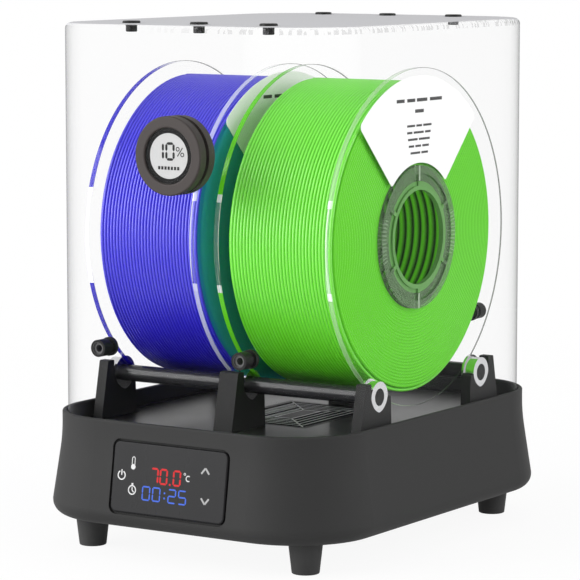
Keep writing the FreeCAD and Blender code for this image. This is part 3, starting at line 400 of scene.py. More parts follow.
def reel_clear(name, strand, rim_reflection_look, web_reflection_look, axis_z, outer_x, radii):
    """Clear flange: the front of the rim takes a colour as a painted reflection, its outer edge is a thin
    dark line of painted shade, the rim along the slot is bare with painted highlights as bright lines and end
    blocks, the web takes a colour as a painted reflection, and the collar round the bore is a clouded ring
    with rungs and spokes and a painted reflection of the strand. A look is a colour and how much it covers."""
    rim_depth = 0.35 * mm
    edge_width = 1.0 * mm
    block_length = 4.5 * mm
    lip_radius = 33 * mm
    rung_radius = 36.5 * mm
    rung_reach = 13 * mm
    rung_rate = 110
    spoke_half = 0.8 * mm
    spoke_start = 33.5 * mm
    rim_reflection_colour, rim_reflection_cover = rim_reflection_look
    web_reflection_colour, web_reflection_cover = web_reflection_look
    rim_radius, winding_radius, collar_radius = radii
    finish = Finish(name)
    x, y, z = finish.place()
    rise = z - axis_z
    radius = span(y, rise)
    facing = finish.facing()
    haze = finish.noise(60, 3)
    lines = finish.noise(1500, 0, (1, 0.01, 0.01)).step(0.5, 0.6)
    rim = radius.above(rim_radius - rim_depth)
    slot_rise = rim_radius * math.sin(RIM_SLOT_ANGLE)
    # The bright lines and end blocks in the slot are painted highlights.
    slot = rim * y.below(0) * rise.absolute().below(slot_rise)
    slot_end_highlight = slot * rise.absolute().above(slot_rise - block_length)
    front = 1 - y.step(-35 * mm, 5 * mm)
    # The colour on the rim's front is a painted reflection.
    glow = (rim - slot) * front
    # The dark line on the rim's outer edge is painted shade.
    edge = rim * (1 - front) * (x - outer_x).absolute().below(edge_width)
    collar = radius.below(collar_radius)
    lip = radius.below(lip_radius)
    wave = (rise.math("ARCTAN2", rise, y) * rung_rate).sine()
    rungs = wave.above(0.3) * radius.above(rung_radius) * rise.absolute().below(rung_reach)
    spokes = y.absolute().below(spoke_half) * radius.above(spoke_start)
    # Clouded collar; its strand tint is a painted reflection of the strand.
    cloud_and_strand_reflection = finish.blend(haze, tinted(0.07, strand, 0.14), tinted(0.11, strand, 0.18))
    cloud_and_strand_reflection = finish.blend(lip, cloud_and_strand_reflection, tinted(0.10, strand, 0.42))
    cloud_and_strand_reflection = finish.blend(rungs * 0.25 + spokes * 0.7, cloud_and_strand_reflection, tinted(0.54, strand, 0.2))
    # The web's colour is a painted reflection; the grey elsewhere shows at a low angle as a painted
    # reflection.
    tone = finish.blend(radius.below(winding_radius), GRAZING_REFLECTION_GREY, web_reflection_colour)
    tone = finish.blend(collar, tone, cloud_and_strand_reflection)
    tone = finish.blend(edge, tone, (0.045, 0.060, 0.045))
    tone = finish.blend(slot, tone, (0.92, 0.93, 0.93))
    rim_reflection_tone = finish.vary(haze, rim_reflection_colour, 0.9, 1.1)
    tone = finish.blend(glow, tone, rim_reflection_tone)
    web = radius.below(winding_radius) * (1 - collar)
    alpha = (0.004 + (facing ** 5) * 0.2 + glow * rim_reflection_cover + slot * (0.05 + lines * 0.45)
             + slot_end_highlight * 0.4 + edge * 0.7 + web * web_reflection_cover + collar * 0.72)
    return finish.surface(Base_Color=tone, Roughness=0.1 + haze * 0.06, Specular=0.25,
                          Alpha=alpha.at_most(1.0))


def hub_clear(name, tint):
    """Clear hub inside the winding: hardly seen, with a painted reflection of the strand's colour at a low
    angle.
    """
    finish = Finish(name)
    facing = finish.facing()
    haze = finish.noise(80, 2)
    # The strand's colour on the hub is a painted reflection.
    tone = finish.vary(haze, tint, 0.9, 1.1)
    return finish.surface(Base_Color=tone, Roughness=0.1 + haze * 0.05, Specular=0.1,
                          Alpha=0.004 + (facing ** 6) * 0.15)


def silk_strand(name, colour, roughness, specular):
    """Silk filament: strong colour, satin gloss and slow shifts of tone along the strand."""
    finish = Finish(name)
    shift = finish.noise(9, 2)
    fleck = finish.noise(300, 1)
    tone = finish.vary(shift * 0.8 + fleck * 0.2, colour, 0.9, 1.1)
    return finish.surface(Base_Color=tone, Roughness=roughness + fleck * 0.06, Specular=specular)


def silk_turns(name, colour, axis_z, bore_radius):
    """Inner turns of silk filament: dull and a little darker on the sides as painted shade, with painted
    shade in the bore's grooves and a painted glow on its crests, for the light that comes through the hub."""
    finish = Finish(name)
    _, y, z = finish.place()
    radius = span(y, z - axis_z)
    shift = finish.noise(9, 2)
    # A darker copy of the strand colour: painted shade.
    tone = finish.vary(shift, colour, 0.82, 0.94)
    crest = 1 - radius.step(bore_radius - 1 * mm, bore_radius + 1.6 * mm)
    painted_groove_shade = (1 - crest) * radius.below(bore_radius + 2.2 * mm)
    # Painted shade in the bore's grooves.
    tone = finish.blend(painted_groove_shade, tone, shaded(colour, 0.08))
    # Painted glow on the crests, for light through the hub.
    light = finish.blend(crest, (0, 0, 0), shaded(colour, 0.5))
    return finish.surface(Base_Color=tone, Roughness=0.5 + shift * 0.06, Specular=0.25, Emission_Color=light,
                          Emission_Strength=0.9)


def paper(name, colour):
    """Coated label paper with a faint tooth."""
    finish = Finish(name)
    tooth = finish.noise(1500, 3)
    tone = finish.blend(tooth, shaded(colour, 0.97), colour)
    return finish.surface(Base_Color=tone, Roughness=0.55 + tooth * 0.1, Specular=0.25,
                          Normal=finish.bump(tooth, 0.006 * mm, 0.4))


def ink(name, colour, glow=0.0):
    """Printed or lit marking with a slightly uneven edge to edge tone."""
    finish = Finish(name)
    cloud = finish.noise(700, 2)
    tone = finish.blend(cloud, shaded(colour, 0.9), colour)
    return finish.surface(Base_Color=tone, Roughness=0.5 + cloud * 0.1, Specular=0.2, Emission_Color=tone,
                          Emission_Strength=glow)


def liquid_crystal(name, axis_z, window_radius):
    """Gauge screen: pale grey disc in a black surround, which is painted shade of the bezel's recess."""
    finish = Finish(name)
    x, _, z = finish.place()
    far = span(x, z - axis_z)
    cells = finish.noise(2400, 1)
    pale = finish.blend(cells, (0.43, 0.43, 0.43), (0.49, 0.49, 0.49))
    # Black outside the window: painted shade of the recess.
    tone = finish.blend(far.above(window_radius), pale, (0.003, 0.003, 0.003))
    return finish.surface(Base_Color=tone, Roughness=0.45 + cells * 0.1, Specular=0.1)


def clear_window(name):
    """Thin clear lens that turns grey at a low angle as a painted reflection."""
    finish = Finish(name)
    facing = finish.facing()
    haze = finish.noise(120, 2)
    tone = finish.blend(haze, (0.5, 0.5, 0.5), (0.6, 0.6, 0.6))
    # The grey at a low angle is painted reflection.
    return finish.surface(Base_Color=tone, Roughness=0.05 + haze * 0.04, Specular=0.15,
                          Alpha=0.004 + (facing ** 5) * 0.3)


def finish_nodes(material, *names):
    """Puts a material on CAD nodes, leaving their meshes as they are."""
    for name in names:
        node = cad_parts[name]
        for slot in node.material_slots:
            slot.material = material


# Surfaces

def grid_quads(rows, columns, close_rows, close_columns):
    """Faces of a grid of points: each joins a point to its next in both directions, round the end where
    closed."""
    row = np.arange(rows if close_rows else rows - 1)
    column = np.arange(columns if close_columns else columns - 1)
    row, column = np.meshgrid(row, column, indexing="ij")
    next_row = (row + 1) % rows
    next_column = (column + 1) % columns
    quads = np.stack([row * columns + column, row * columns + next_column,
                      next_row * columns + next_column, next_row * columns + column], -1)
    return quads.reshape(-1, 4).tolist()


def add_mesh(name, points, faces, material, smooth=False):
    """A new object in the scene: one mesh with one material."""
    mesh = bpy.data.meshes.new(name)
    mesh.from_pydata(points.tolist(), [], faces)
    mesh.polygons.foreach_set("use_smooth", np.full(len(mesh.polygons), smooth))
    mesh.materials.append(material)
    mesh.update()
    added = bpy.data.objects.new(name, mesh)
    bpy.context.scene.collection.objects.link(added)
    return added


def make_piece(name, sheets, material, body, smooth):
    """One mesh piece from sheets of points and faces, riding a body."""
    points = []
    faces = []
    count = 0
    for sheet_points, sheet_faces in sheets:
        points.append(sheet_points)
        faces.extend([[index + count for index in face] for face in sheet_faces])
        count += len(sheet_points)
    piece = add_mesh(name, np.concatenate(points), faces, material, smooth)
    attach(piece, body)
    return piece


def wound_strand(centre, width, outer_radius, turns, turn_segments):
    """A round strand on a helix about X: the axis place grows with the angle by one pitch a turn, and round
    the strand's own circle the radius and axis place swing by the sine and cosine of the circle's angle."""
    pitch = width / (turns + 1)
    strand_radius = 0.49 * pitch
    sides = 10
    angle = np.linspace(0, 2 * math.pi * turns, turns * turn_segments + 1)[:, None]
    swing = np.linspace(0, 2 * math.pi, sides, endpoint=False)[None, :]
    radius = outer_radius - strand_radius + strand_radius * np.sin(swing)
    along = -turns * pitch / 2 + pitch * angle / (2 * math.pi) + strand_radius * np.cos(swing)
    points = np.stack([centre.x + along, centre.y + radius * np.sin(angle),
                       centre.z + radius * np.cos(angle)], -1)
    rows = points.shape[0]
    faces = grid_quads(rows, sides, False, True)
    faces.append(list(range(sides)))
    faces.append([(rows - 1) * sides + index for index in reversed(range(sides))])
    return points.reshape(-1, 3), faces


def ribbed_ring(centre, half_width, radii, rings, ridges, segments):
    """A ring about X with ribbed sides and a ridged bore. Its section runs out along one side, back along
    the other and home through the bore; the ribs are the absolute sine of the distance over the pitch,
    less one."""
    low, high = radii
    ring_pitch, ring_depth = rings
    ridge_pitch, ridge_depth = ridges
    ring_count = round((high - low - ridge_depth) / ring_pitch)
    ridge_count = round(2 * half_width / ridge_pitch)
    samples = 7
    out = np.linspace(0, 1, ring_count * samples + 1)
    side_radius = low + ridge_depth + (high - low - ridge_depth) * out
    side_place = half_width - ring_depth * (1 - np.abs(np.sin(math.pi * ring_count * out)))
    across = np.linspace(0, 1, ridge_count * samples + 1)[1:-1]
    bore_radius = low + ridge_depth * (1 - np.abs(np.sin(math.pi * ridge_count * across)))
    bore_place = half_width * (2 * across - 1)
    place = np.concatenate([side_place, -side_place[::-1], bore_place])[:, None]
    radius = np.concatenate([side_radius, side_radius[::-1], bore_radius])[:, None]
    angle = np.linspace(0, 2 * math.pi, segments, endpoint=False)[None, :]
    points = np.stack([centre.x + place + 0 * angle, centre.y + radius * np.sin(angle),
                       centre.z + radius * np.cos(angle)], -1)
    return points.reshape(-1, 3), grid_quads(len(place), segments, True, True)


def disc(centre, radius, ends, axis, segments=64):
    """A disc about axis 0 (X) or 1 (Y): a circle of the radius at each of its two end places, joined by its
    edge and two flat ends."""
    angle = np.linspace(0, 2 * math.pi, segments, endpoint=False)[None, :]
    place = np.array(ends)[:, None] + 0 * angle
    points = np.stack([place, place, centre.z + radius * np.sin(angle) + 0 * place], -1)
    points[..., 1 - axis] = centre[1 - axis] + radius * np.cos(angle)
    faces = [face[::-1] for face in grid_quads(2, segments, False, True)]
    faces.append(list(range(segments)))
    faces.append([segments + index for index in reversed(range(segments))])
    if axis == 0:
        faces = [face[::-1] for face in faces]
    return points.reshape(-1, 3), faces


class Sheet:
    """A flat place on the object, with its own right and up. Marks are laid out on it in millimetres, and
    stand proud of it by its height in metres."""

    def __init__(self, centre, right, up, height):
        self.height = height
        self.centre = np.array(centre)
        self.right = np.array(right)
        self.up = np.array(up)
        self.out = np.cross(self.right, self.up)

    def points(self, across, upward, proud):
        flat = across[..., None] * self.right + upward[..., None] * self.up
        return self.centre + flat * mm + proud[..., None] * self.out


def ribbon(sheet, path, width, closed=False):
    """A rectangle carried along a flat path: at each point it reaches half the width to both sides of the
    path's direction, and from the sheet up to the sheet's height."""
    path = np.array(path, float)
    if closed:
        ways = np.roll(path, -1, 0) - np.roll(path, 1, 0)
    else:
        ways = np.gradient(path, axis=0)
    ways = ways / np.linalg.norm(ways, axis=1)[:, None]
    reach = np.stack([-ways[:, 1], ways[:, 0]], -1) * (np.broadcast_to(width, len(path)) / 2)[:, None]
    flat = np.stack([path + reach, path - reach, path - reach, path + reach], 1)
    proud = np.broadcast_to(np.array([0, 0, sheet.height, sheet.height]), flat.shape[:2])
    points = sheet.points(flat[..., 0], flat[..., 1], proud).reshape(-1, 3)
    faces = grid_quads(len(path), 4, closed, True)
    if not closed:
        last = 4 * (len(path) - 1)
        faces.append([0, 1, 2, 3])
        faces.append([last + 3, last + 2, last + 1, last])
    return points, faces


def arc(centre, radius, first, last, steps=24):
    """Path on a circle, with angles in degrees from the right, turning left."""
    angle = np.radians(np.linspace(first, last, steps))
    return np.stack([centre[0] + radius * np.cos(angle), centre[1] + radius * np.sin(angle)], -1)


def ring(centre, radius, steps=32):
    """Closed path round a circle."""
    return arc(centre, radius, 0, 360 - 360 / steps, steps)


SEGMENT_ENDS = {
    "a": ((0, 2), (1, 2)), "b": ((1, 1), (1, 2)), "c": ((1, 0), (1, 1)), "d": ((0, 0), (1, 0)),
    "e": ((0, 0), (0, 1)), "f": ((0, 1), (0, 2)), "g": ((0, 1), (1, 1)),
}
DIGIT_SEGMENTS = {"0": "abcdef", "1": "bc", "2": "abged", "5": "afgcd", "7": "abc"}


def digit(sheet, text, place, size, stroke):
    """One seven-segment figure. Each lit segment is a bar with pointed ends, a little short of its
    corners."""
    cell = np.array([size[0], size[1] / 2])
    gap = 0.16 * stroke
    bars = []
    for letter in DIGIT_SEGMENTS[text]:
        start, end = (np.array(place) + np.array(corner) * cell for corner in SEGMENT_ENDS[letter])
        way = (end - start) / np.linalg.norm(end - start)
        start = start + way * gap
        end = end - way * gap
        path = [start, start + way * stroke / 2, end - way * stroke / 2, end]
        bars.append(ribbon(sheet, path, [0.15 * stroke, stroke, stroke, 0.15 * stroke]))
    return bars


def facing_sheet(node, way, height):
    """The flat place of a CAD node that faces a way: the largest face gives its lean, and the mean of the
    faces that share it, by area, its middle."""
    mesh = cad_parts[node].data
    count = len(mesh.polygons)
    normals = np.empty(count * 3)
    middles = np.empty(count * 3)
    areas = np.empty(count)
    mesh.polygons.foreach_get("normal", normals)
    mesh.polygons.foreach_get("center", middles)
    mesh.polygons.foreach_get("area", areas)
    normals = normals.reshape(-1, 3)
    middles = middles.reshape(-1, 3)
    seen = normals @ np.array(way) > 0.97
    lean = normals[seen][np.argmax(areas[seen])]
    flat = normals @ lean > 0.9999
    weight = areas[flat][:, None]
    centre = (middles[flat] * weight).sum(0) / weight.sum()
    right = np.cross((0, 0, 1), lean)
    right = right / np.linalg.norm(right)
    return Sheet(centre, right, np.cross(lean, right), height)


def middle_of(node):
    """Middle of a CAD node's box."""
    low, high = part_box(node)
    return (low + high) / 2


def half_height(node):
    """Half of a CAD node's height: its radius, where it is round about a level axis."""
    low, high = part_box(node)
    return (high.z - low.z) / 2


def reel_strand_colour(looks, reel):
    """Strand colour of a reel."""
    return tuple(getattr(looks.colours, STRANDS[reel]))


# Operators

class DRYER_OT_housing(bpy.types.Operator):
    """Finish the base, its deck, brackets, feet and screws"""

    bl_idname = "dryer.housing"
    bl_label = "Housing"
    bl_options = {"REGISTER", "UNDO"}

    def execute(self, context):
        looks = context.scene.dryer_looks
        housing = tuple(looks.colours.housing)
        brackets = [f"{row}_{place}_bracket" for row in ROWS for place in PLACES]
        finish_nodes(moulded_plastic("housing plastic", housing), "base_shell", "bottom_plate")
        # Brackets and deck take a darker copy of the housing colour: painted shade inside the box.
        finish_nodes(moulded_plastic("bracket plastic", shaded(housing, 0.8)), *brackets)
        deck = moulded_plastic("deck plastic", shaded(housing, 0.8), 0.3, 0.42, depth=0.003 * mm)
        finish_nodes(deck, "chamber_deck")
        # The grille's frame is a darker copy of the housing colour as painted shade, and its pale crests are
        # painted highlights.
        grille = ribbed_plastic("grille plastic", shaded(housing, 0.6), (0.72, 0.72, 0.72))
        finish_nodes(grille, "air_grille")
        finish_nodes(soft_rubber("foot rubber", tuple(looks.colours.foot)), "feet")
        finish_nodes(brushed_metal("screw steel", (0.42, 0.42, 0.43)), "base_screws", "bracket_screws")
        return {"FINISHED"}


class DRYER_OT_electrics(bpy.types.Operator):
    """Finish the fan, heater, probe, boards and power inlet"""

    bl_idname = "dryer.electrics"
    bl_label = "Electrics"
    bl_options = {"REGISTER", "UNDO"}

    def execute(self, context):
        finish_nodes(moulded_plastic("fan plastic", (0.02, 0.02, 0.021), 0.45, 0.4), "fan_frame", "fan_rotor")
        finish_nodes(brushed_metal("heater aluminium", (0.72, 0.73, 0.74), 0.3, (1, 1, 0.04)), "heater")
        finish_nodes(brushed_metal("probe steel", (0.6, 0.6, 0.61), 0.28), "temperature_probe")
        finish_nodes(circuit_board("circuit board"), "power_board", "panel_board")
        finish_nodes(moulded_plastic("inlet plastic", (0.014, 0.014, 0.015), 0.42, 0.4), "power_inlet")
        return {"FINISHED"}


class DRYER_OT_rollers(bpy.types.Operator):
    """Finish the roller bars and their bushes"""

    bl_idname = "dryer.rollers"
    bl_label = "Rollers"
    bl_options = {"REGISTER", "UNDO"}

    def execute(self, context):
        looks = context.scene.dryer_looks
        sides = [f"{row}_{hand}" for row in ROWS for hand in HANDS]
        finish_nodes(roller_sleeve("roller sleeve", tuple(looks.colours.roller)),
                     *[side + "_roller" for side in sides])
        bearing = bright_plating("bearing plating", tuple(looks.colours.bush))
        finish_nodes(bearing, *[side + "_bush" for side in sides], *[row + "_middle_bushes" for row in ROWS])
        cap_plastic = moulded_plastic("bearing cap plastic", shaded(tuple(looks.colours.housing), 0.9))
        cap_gap = 0.1 * mm
        cap_near, cap_far = 0.2 * mm, 1.2 * mm
        for side in sides:
            bush_low, bush_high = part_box(side + "_bush")
            radius = half_height(side + "_roller") - cap_gap
            ends = (bush_high.x - cap_far, bush_high.x - cap_near)
            if side.endswith("left"):
                ends = (bush_low.x + cap_near, bush_low.x + cap_far)
            cap = disc(middle_of(side + "_roller"), radius, ends, 0)
            make_piece(side + "_bearing_cap", [cap], cap_plastic, "base", False)
        return {"FINISHED"}


class DRYER_OT_cover(bpy.types.Operator):
    """Finish the clear cover, its seal, plugs and tube outlets"""

    bl_idname = "dryer.cover"
    bl_label = "Cover"
    bl_options = {"REGISTER", "UNDO"}

    def execute(self, context):
        looks = context.scene.dryer_looks
        rubber = tuple(looks.colours.rubber)
        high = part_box("clear_cover")[1]
        clear = clear_cover("cover clear", tuple(looks.colours.clear), high.x, high.y, COVER_CORNER, high.z)
        finish_nodes(clear, "clear_cover")
        finish_nodes(soft_rubber("seal rubber", rubber), "cover_seal")
        finish_nodes(soft_rubber("plug rubber", rubber, 0.5),
                     *[f"{row}_{place}_plug" for row in ROWS for place in PLACES])
        outlet = middle_of("front_right_outlet")
        finish_nodes(outlet_plastic("outlet plastic", rubber, outlet.x, outlet.z, GLAND_RADIUS),
                     *[f"{row}_{hand}_outlet" for row in ROWS for hand in HANDS])
        return {"FINISHED"}


class DRYER_OT_gauge(bpy.types.Operator):
    """Finish the humidity gauge and show a reading on its screen"""

    bl_idname = "dryer.gauge"
    bl_label = "Gauge"
    bl_options = {"REGISTER", "UNDO"}

    def execute(self, context):
        looks = context.scene.dryer_looks
        finish_nodes(moulded_plastic("gauge plastic", tuple(looks.colours.gauge), 0.5, 0.2),
                     "gauge_housing", "gauge_lock_ring")
        middle = middle_of("gauge_display")
        finish_nodes(liquid_crystal("gauge screen", middle.z, SCREEN_RADIUS), "gauge_display")
        sheet = facing_sheet("gauge_display", (0, -1, 0), looks.sizes.mark_height)
        low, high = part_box("gauge_lens")
        window = disc(middle, (high.x - low.x) / 2, (low.y, sheet.centre[1] - 3 * sheet.height), 1)
        clear = clear_window("gauge window")
        lens = make_piece("gauge_clear_window", [window], clear, "cover", False)
        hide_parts("gauge_lens")
        stroke = 1.5
        marks = digit(sheet, "1", (-8.2, -1.9), (4.2, 9.0), stroke)
        marks += digit(sheet, "0", (-1.6, -1.9), (5.0, 9.0), stroke)
        marks.append(ribbon(sheet, [(6.0, 0.0), (9.6, 5.0)], 0.6))
        for place in ((6.2, 4.1), (9.4, 1.0)):
            marks.append(ribbon(sheet, ring(place, 1.05), 0.55, True))
        level = -6.9
        for index in range(7):
            left = -7.4 + 2.2 * index
            marks.append(ribbon(sheet, [(left, level), (left + 1.5, level)], 1.9))
        black = ink("screen ink", (0.006, 0.006, 0.006))
        make_piece("gauge_reading", marks, black, "cover", False)
        return {"FINISHED"}


class DRYER_OT_touch_panel(bpy.types.Operator):
    """Finish the touch panel and light its figures and symbols"""

    bl_idname = "dryer.touch_panel"
    bl_label = "Touch Panel"
    bl_options = {"REGISTER", "UNDO"}

    def execute(self, context):
        looks = context.scene.dryer_looks
        finish_nodes(panel_gloss("panel gloss", tuple(looks.colours.panel)), "control_panel")
        sheet = facing_sheet("control_panel", (0, -1, 0), looks.sizes.mark_height)
        self.build_symbols(sheet)
        glow = 0.08
        stroke = 1.15
        size = (4.6, 8.2)
        base = -1.5
        figures = []
        for text, left in (("7", -12.3), ("0", -5.9), ("0", 3.4)):
            figures += digit(sheet, text, (left, base), size, stroke)
        figures.append(ribbon(sheet, [(0.5, base), (1.7, base)], 1.2))
        red = ink("lit red", tuple(looks.colours.digits_red), glow)
        make_piece("panel_temperature", figures, red, "base", False)
        stroke = 0.85
        size = (5.0, 7.6)
        base = -11.8
        figures = []
        for text, left in (("0", -17.6), ("0", -10.4), ("2", 0.6), ("5", 7.8)):
            figures += digit(sheet, text, (left, base), size, stroke)
        for dot in (base + 2.2, base + 5.2):
            figures.append(ribbon(sheet, [(-2.6, dot), (-1.6, dot)], 1.0))
        blue = ink("lit blue", tuple(looks.colours.digits_blue), glow)
        make_piece("panel_time", figures, blue, "base", False)
        return {"FINISHED"}

    def build_symbols(self, sheet):
        """Power, thermometer and timer symbols, the degree sign and the two chevron keys."""
        glow = 0.05
        power = (-33.2, 0.9)
        timer = (-25.1, -7.0)
        bulb = (-25.4, 6.4)
        stem_low, stem_high, stem_half = 7.6, 11.2, 0.95
        degree = (11.0, 5.6)
        letter = (13.6, 3.2)
        marks = [
            ribbon(sheet, arc(power, 2.5, 118, 422), 0.75),
            ribbon(sheet, [power, (power[0], power[1] + 3.3)], 0.75),
            ribbon(sheet, ring(timer, 2.5), 0.7, True),
            ribbon(sheet, [timer, (timer[0] + 1.2, timer[1] - 1.2)], 0.6),
            ribbon(sheet, [timer, (timer[0], timer[1] + 1.7)], 0.6),
            ribbon(sheet, [(timer[0], timer[1] + 2.9), (timer[0], timer[1] + 4.0)], 1.3),
            ribbon(sheet, ring(bulb, 0.8), 1.5, True),
            ribbon(sheet, arc((bulb[0], stem_high), stem_half, 0, 180), 0.45),
        ]
        for side in (bulb[0] - stem_half, bulb[0] + stem_half):
            marks.append(ribbon(sheet, [(side, stem_low), (side, stem_high)], 0.45))
        marks.append(ribbon(sheet, ring(degree, 0.6, 16), 0.35, True))
        marks.append(ribbon(sheet, arc(letter, 1.5, 55, 305), 0.6))
        white = ink("symbol white", (0.60, 0.60, 0.60), glow)
        make_piece("panel_symbols", marks, white, "base", False)
        keys = []
        for place, way in (((25.0, 8.5), 1), ((26.0, -8.4), -1)):
            tip = (place[0], place[1] + way * 1.8)
            for hand in (-1, 1):
                foot = (place[0] + hand * 2.7, place[1] - way * 1.5)
                keys.append(ribbon(sheet, [foot, tip], 1.1))
        grey = ink("key grey", (0.36, 0.36, 0.36), glow)
        make_piece("panel_keys", keys, grey, "base", False)


class DRYER_OT_reels(bpy.types.Operator):
    """Finish the clear reels"""

    bl_idname = "dryer.reels"
    bl_label = "Reels"
    bl_options = {"REGISTER", "UNDO"}

    def execute(self, context):
        looks = context.scene.dryer_looks
        collar_width = 2.4 * mm
        bare = (GRAZING_REFLECTION_GREY, 0.0)
        # Painted reflections on the near flanges: a white highlight on the left reel's rim, the strand's
        # green on the right reel's rim, and the green neighbour's light on the left reel's web.
        rim_reflections = {"left_reel": ((0.85, 0.87, 0.90), 0.4), "right_reel": ((0.40, 0.60, 0.34), 0.5)}
        web_reflections = {"left_reel": ((0.05, 0.48, 0.56), 0.6), "right_reel": bare}
        for reel in REELS:
            left_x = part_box(reel + "_left_flange")[0].x
            right_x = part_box(reel + "_right_flange")[1].x
            axis_z = middle_of(reel + "_right_flange").z
            radii = (half_height(reel + "_right_flange"), half_height(reel + "_filament_layer"),
                     half_height(reel + "_hub") + collar_width)
            strand = reel_strand_colour(looks, reel)
            # The far rim takes the strand's colour as a painted reflection.
            far_rim_reflection = (shaded(strand, 0.7), 0.94)
            near = reel_clear(reel + " clear right", strand, rim_reflections[reel], web_reflections[reel], axis_z, right_x, radii)
            far = reel_clear(reel + " clear left", strand, far_rim_reflection, bare, axis_z, left_x, radii)
            finish_nodes(near, reel + "_right_flange")
            finish_nodes(far, reel + "_left_flange")
            finish_nodes(hub_clear(reel + " clear hub", strand), reel + "_hub")
        return {"FINISHED"}


class DRYER_OT_windings(bpy.types.Operator):
    """Wind the strand on both reels"""

    bl_idname = "dryer.windings"
    bl_label = "Windings"
    bl_options = {"REGISTER", "UNDO"}

    def execute(self, context):
        looks = context.scene.dryer_looks
        sizes = looks.sizes
        hub_gap = 0.1 * mm
        for reel in REELS:
            colour = reel_strand_colour(looks, reel)
            silk = silk_strand(reel + " silk", colour, 0.36, 1.0)
            low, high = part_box(reel + "_filament_layer")
            centre = middle_of(reel + "_filament_core")
            outer = wound_strand(centre, high.x - low.x, half_height(reel + "_filament_layer"),
                                 sizes.strand_turns, sizes.turn_segments)
            strand = make_piece(reel + "_strand", [outer], silk, reel, True)
            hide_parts(reel + "_filament_layer")
            low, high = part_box(reel + "_filament_core")
            radii = (half_height(reel + "_hub") + hub_gap, half_height(reel + "_filament_core"))
            side = silk_turns(reel + " silk side", colour, centre.z, radii[0])
            inner = ribbed_ring(centre, (high.x - low.x) / 2, radii, (sizes.ring_pitch, sizes.ring_depth),
                                (sizes.ridge_pitch, sizes.ridge_depth), sizes.turn_segments)
            turns = make_piece(reel + "_inner_turns", [inner], side, reel, True)
            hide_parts(reel + "_filament_core")
        return {"FINISHED"}


# Rows of bars on a label: height over the axis, thickness, and each bar's two ends
LABEL_BARS = (
    (81.0, 2.0, ((-26, -17), (-14, -5), (-3, 9), (12, 26))),
    (74.5, 2.0, ((-5, 5),)),
    (66.0, 1.3, ((-14, -5), (-3.5, 3), (4.5, 14))),
    (62.0, 1.3, ((-14, -8), (-6.5, 5), (6.5, 13))),
    (58.0, 1.3, ((-13, -2), (-0.5, 12))),
    (54.0, 1.3, ((-12, -6), (-4.5, 2), (3.5, 11))),
    (50.0, 1.3, ((-10, 1), (2.5, 10))),
)


class DRYER_OT_labels(bpy.types.Operator):
    """Finish the reels' paper labels and print plain bars on them"""

    bl_idname = "dryer.labels"
    bl_label = "Labels"
    bl_options = {"REGISTER", "UNDO"}

    def execute(self, context):
        looks = context.scene.dryer_looks
        white = paper("label paper", (0.93, 0.93, 0.93))
        black = ink("label ink", (0.07, 0.07, 0.07))
        for reel in REELS:
            finish_nodes(white, reel + "_label")
            sheet = facing_sheet(reel + "_label", (1, 0, 0), looks.sizes.mark_height)
            sheet.centre[1] = 0
            sheet.centre[2] = middle_of(reel + "_filament_core").z
            marks = []
            for rise, thick, bars in LABEL_BARS:
                for first, last in bars:
                    marks.append(ribbon(sheet, [(first, rise), (last, rise)], thick))
            make_piece(reel + "_label_print", marks, black, reel, False)
        return {"FINISHED"}


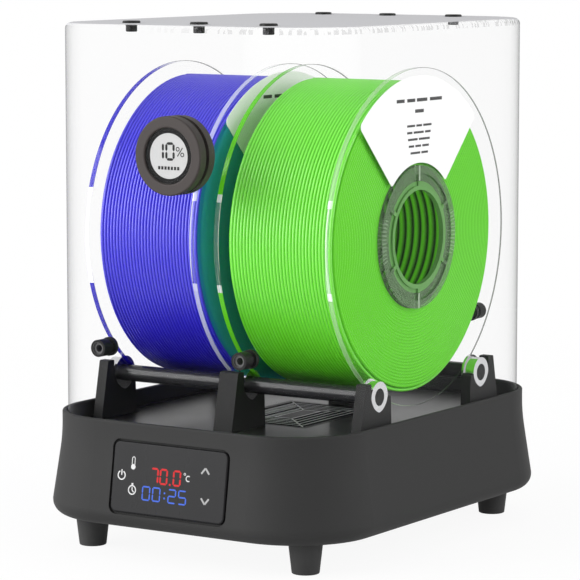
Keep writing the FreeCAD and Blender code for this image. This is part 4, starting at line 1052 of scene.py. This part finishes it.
class DRYER_OT_studio(bpy.types.Operator):
    """Set the pale floor, the soft lights and the camera"""

    bl_idname = "dryer.studio"
    bl_label = "Studio"
    bl_options = {"REGISTER", "UNDO"}

    def execute(self, context):
        studio = context.scene.dryer_looks.studio
        bpy.context.scene.view_settings.view_transform = "Standard"
        bpy.context.scene.cycles.transparent_max_bounces = 48
        self.build_floor()
        self.build_world(studio.ambient)
        self.softbox("key light", studio.key_power, azimuth=-40, elevation=12, distance=2.2, size=2.6)
        self.softbox("side light", studio.side_power, azimuth=108, elevation=20, distance=2.2, size=1.5)
        self.softbox("top light", studio.top_power, azimuth=0, elevation=89, distance=2.0, size=1.6)
        self.build_camera(studio)
        return {"FINISHED"}

    def seen(self, tree):
        """1 for rays from the camera and through clear plastic, less for reflections, 0 for light."""
        reflected = 0.7
        path = tree.add("ShaderNodeLightPath")
        outputs = path.socket.node.outputs
        camera, glossy, through = (Signal(tree, outputs[name]) for name in
                                   ("Is Camera Ray", "Is Glossy Ray", "Is Transmission Ray"))
        return camera.at_least(through).at_least(glossy * reflected)

    def build_floor(self):
        """A flat grid under the box, mostly lit by itself where it is seen, so that it stays pale."""
        half, steps = 20, 9
        finish = Finish("studio floor")
        x, y, _ = finish.place()
        far = span(x, y)
        cloud = finish.noise(3, 2)
        tone = finish.blend(cloud, (0.90, 0.90, 0.90), (0.92, 0.92, 0.92))
        paint = finish.add("ShaderNodeBsdfDiffuse", inputs={"Color": tone})
        white = finish.add("ShaderNodeEmission", inputs={"Strength": 1.0})
        veil = self.seen(finish) * (0.92 + far.step(0.3, 1.1) * 0.08)
        mixed = finish.add("ShaderNodeMixShader", inputs={0: veil, 1: paint, 2: white})
        finish.add("ShaderNodeOutputMaterial", inputs={"Surface": mixed})
        side = np.linspace(-half, half, steps)
        across, along = np.meshgrid(side, side, indexing="ij")
        points = np.stack([across, along, 0 * across], -1).reshape(-1, 3)
        faces = [face[::-1] for face in grid_quads(steps, steps, False, False)]
        floor = add_mesh("studio_floor", points, faces, finish.owner)

    def build_world(self, ambient):
        """White surroundings that give less light than they show."""
        world = bpy.data.worlds.new("studio")
        bpy.context.scene.world = world
        tree = NodeTree(world)
        seen = self.seen(tree)
        strength = seen + (1 - seen) * ambient
        sky = tree.add("ShaderNodeBackground", inputs={"Color": (1, 1, 1, 1), "Strength": strength})
        tree.add("ShaderNodeOutputWorld", inputs={"Surface": sky})

    def direction(self, azimuth, elevation):
        """Unit vector that is turned from the front and lifted from the floor by these angles."""
        level = math.cos(elevation)
        return Vector((math.sin(azimuth) * level, -math.cos(azimuth) * level, math.sin(elevation)))

    def aim(self, name, data, place, back):
        """Puts a lamp or camera at a place, with its back to a direction."""
        aimed = bpy.data.objects.new(name, data)
        aimed.location = place
        aimed.rotation_euler = (-back).to_track_quat("-Z", "Y").to_euler()
        bpy.context.scene.collection.objects.link(aimed)
        return aimed

    def softbox(self, name, power, azimuth, elevation, distance, size):
        """Square lamp at a distance from the box's middle, facing it."""
        target = Vector((0, 0, 0.15))
        back = self.direction(math.radians(azimuth), math.radians(elevation))
        lamp = bpy.data.lights.new(name, "AREA")
        lamp.size = size
        lamp.energy = power
        self.aim(name, lamp, target + back * distance, back)

    def build_camera(self, studio):
        """Camera at its place, looking along its azimuth and elevation."""
        lens = bpy.data.cameras.new("studio_camera")
        lens.lens = studio.camera_lens
        lens.sensor_width = 36
        lens.clip_end = 100
        back = self.direction(studio.camera_azimuth, studio.camera_elevation)
        bpy.context.scene.camera = self.aim("studio_camera", lens, studio.camera_place, back)


OPERATORS = (DRYER_OT_housing, DRYER_OT_electrics, DRYER_OT_rollers, DRYER_OT_cover, DRYER_OT_gauge,
             DRYER_OT_touch_panel, DRYER_OT_reels, DRYER_OT_windings, DRYER_OT_labels, DRYER_OT_studio)


class DRYER_PT_looks(bpy.types.Panel):
    """Lists the settings and the steps of the dryer box's looks"""

    bl_idname = "DRYER_PT_looks"
    bl_label = "Dryer Box"
    bl_space_type = "VIEW_3D"
    bl_region_type = "UI"
    bl_category = "Dryer Box"

    def draw(self, context):
        looks = context.scene.dryer_looks
        for group in (looks.colours, looks.sizes, looks.studio):
            box = self.layout.box()
            for name in group.__annotations__:
                box.prop(group, name)
        for operator in OPERATORS:
            self.layout.operator(operator.bl_idname)


CLASSES = (DryerColours, DryerSizes, DryerStudio, DryerLooks, *OPERATORS, DRYER_PT_looks)


def register():
    for each in CLASSES:
        bpy.utils.register_class(each)
    bpy.types.Scene.dryer_looks = PointerProperty(type=DryerLooks)


def unregister():
    del bpy.types.Scene.dryer_looks
    for each in reversed(CLASSES):
        bpy.utils.unregister_class(each)


def main():
    register()
    bpy.ops.dryer.housing()
    bpy.ops.dryer.electrics()
    bpy.ops.dryer.rollers()
    bpy.ops.dryer.cover()
    bpy.ops.dryer.gauge()
    bpy.ops.dryer.touch_panel()
    bpy.ops.dryer.reels()
    bpy.ops.dryer.windings()
    bpy.ops.dryer.labels()
    bpy.ops.dryer.studio()


if __name__ == "__main__":
    main()
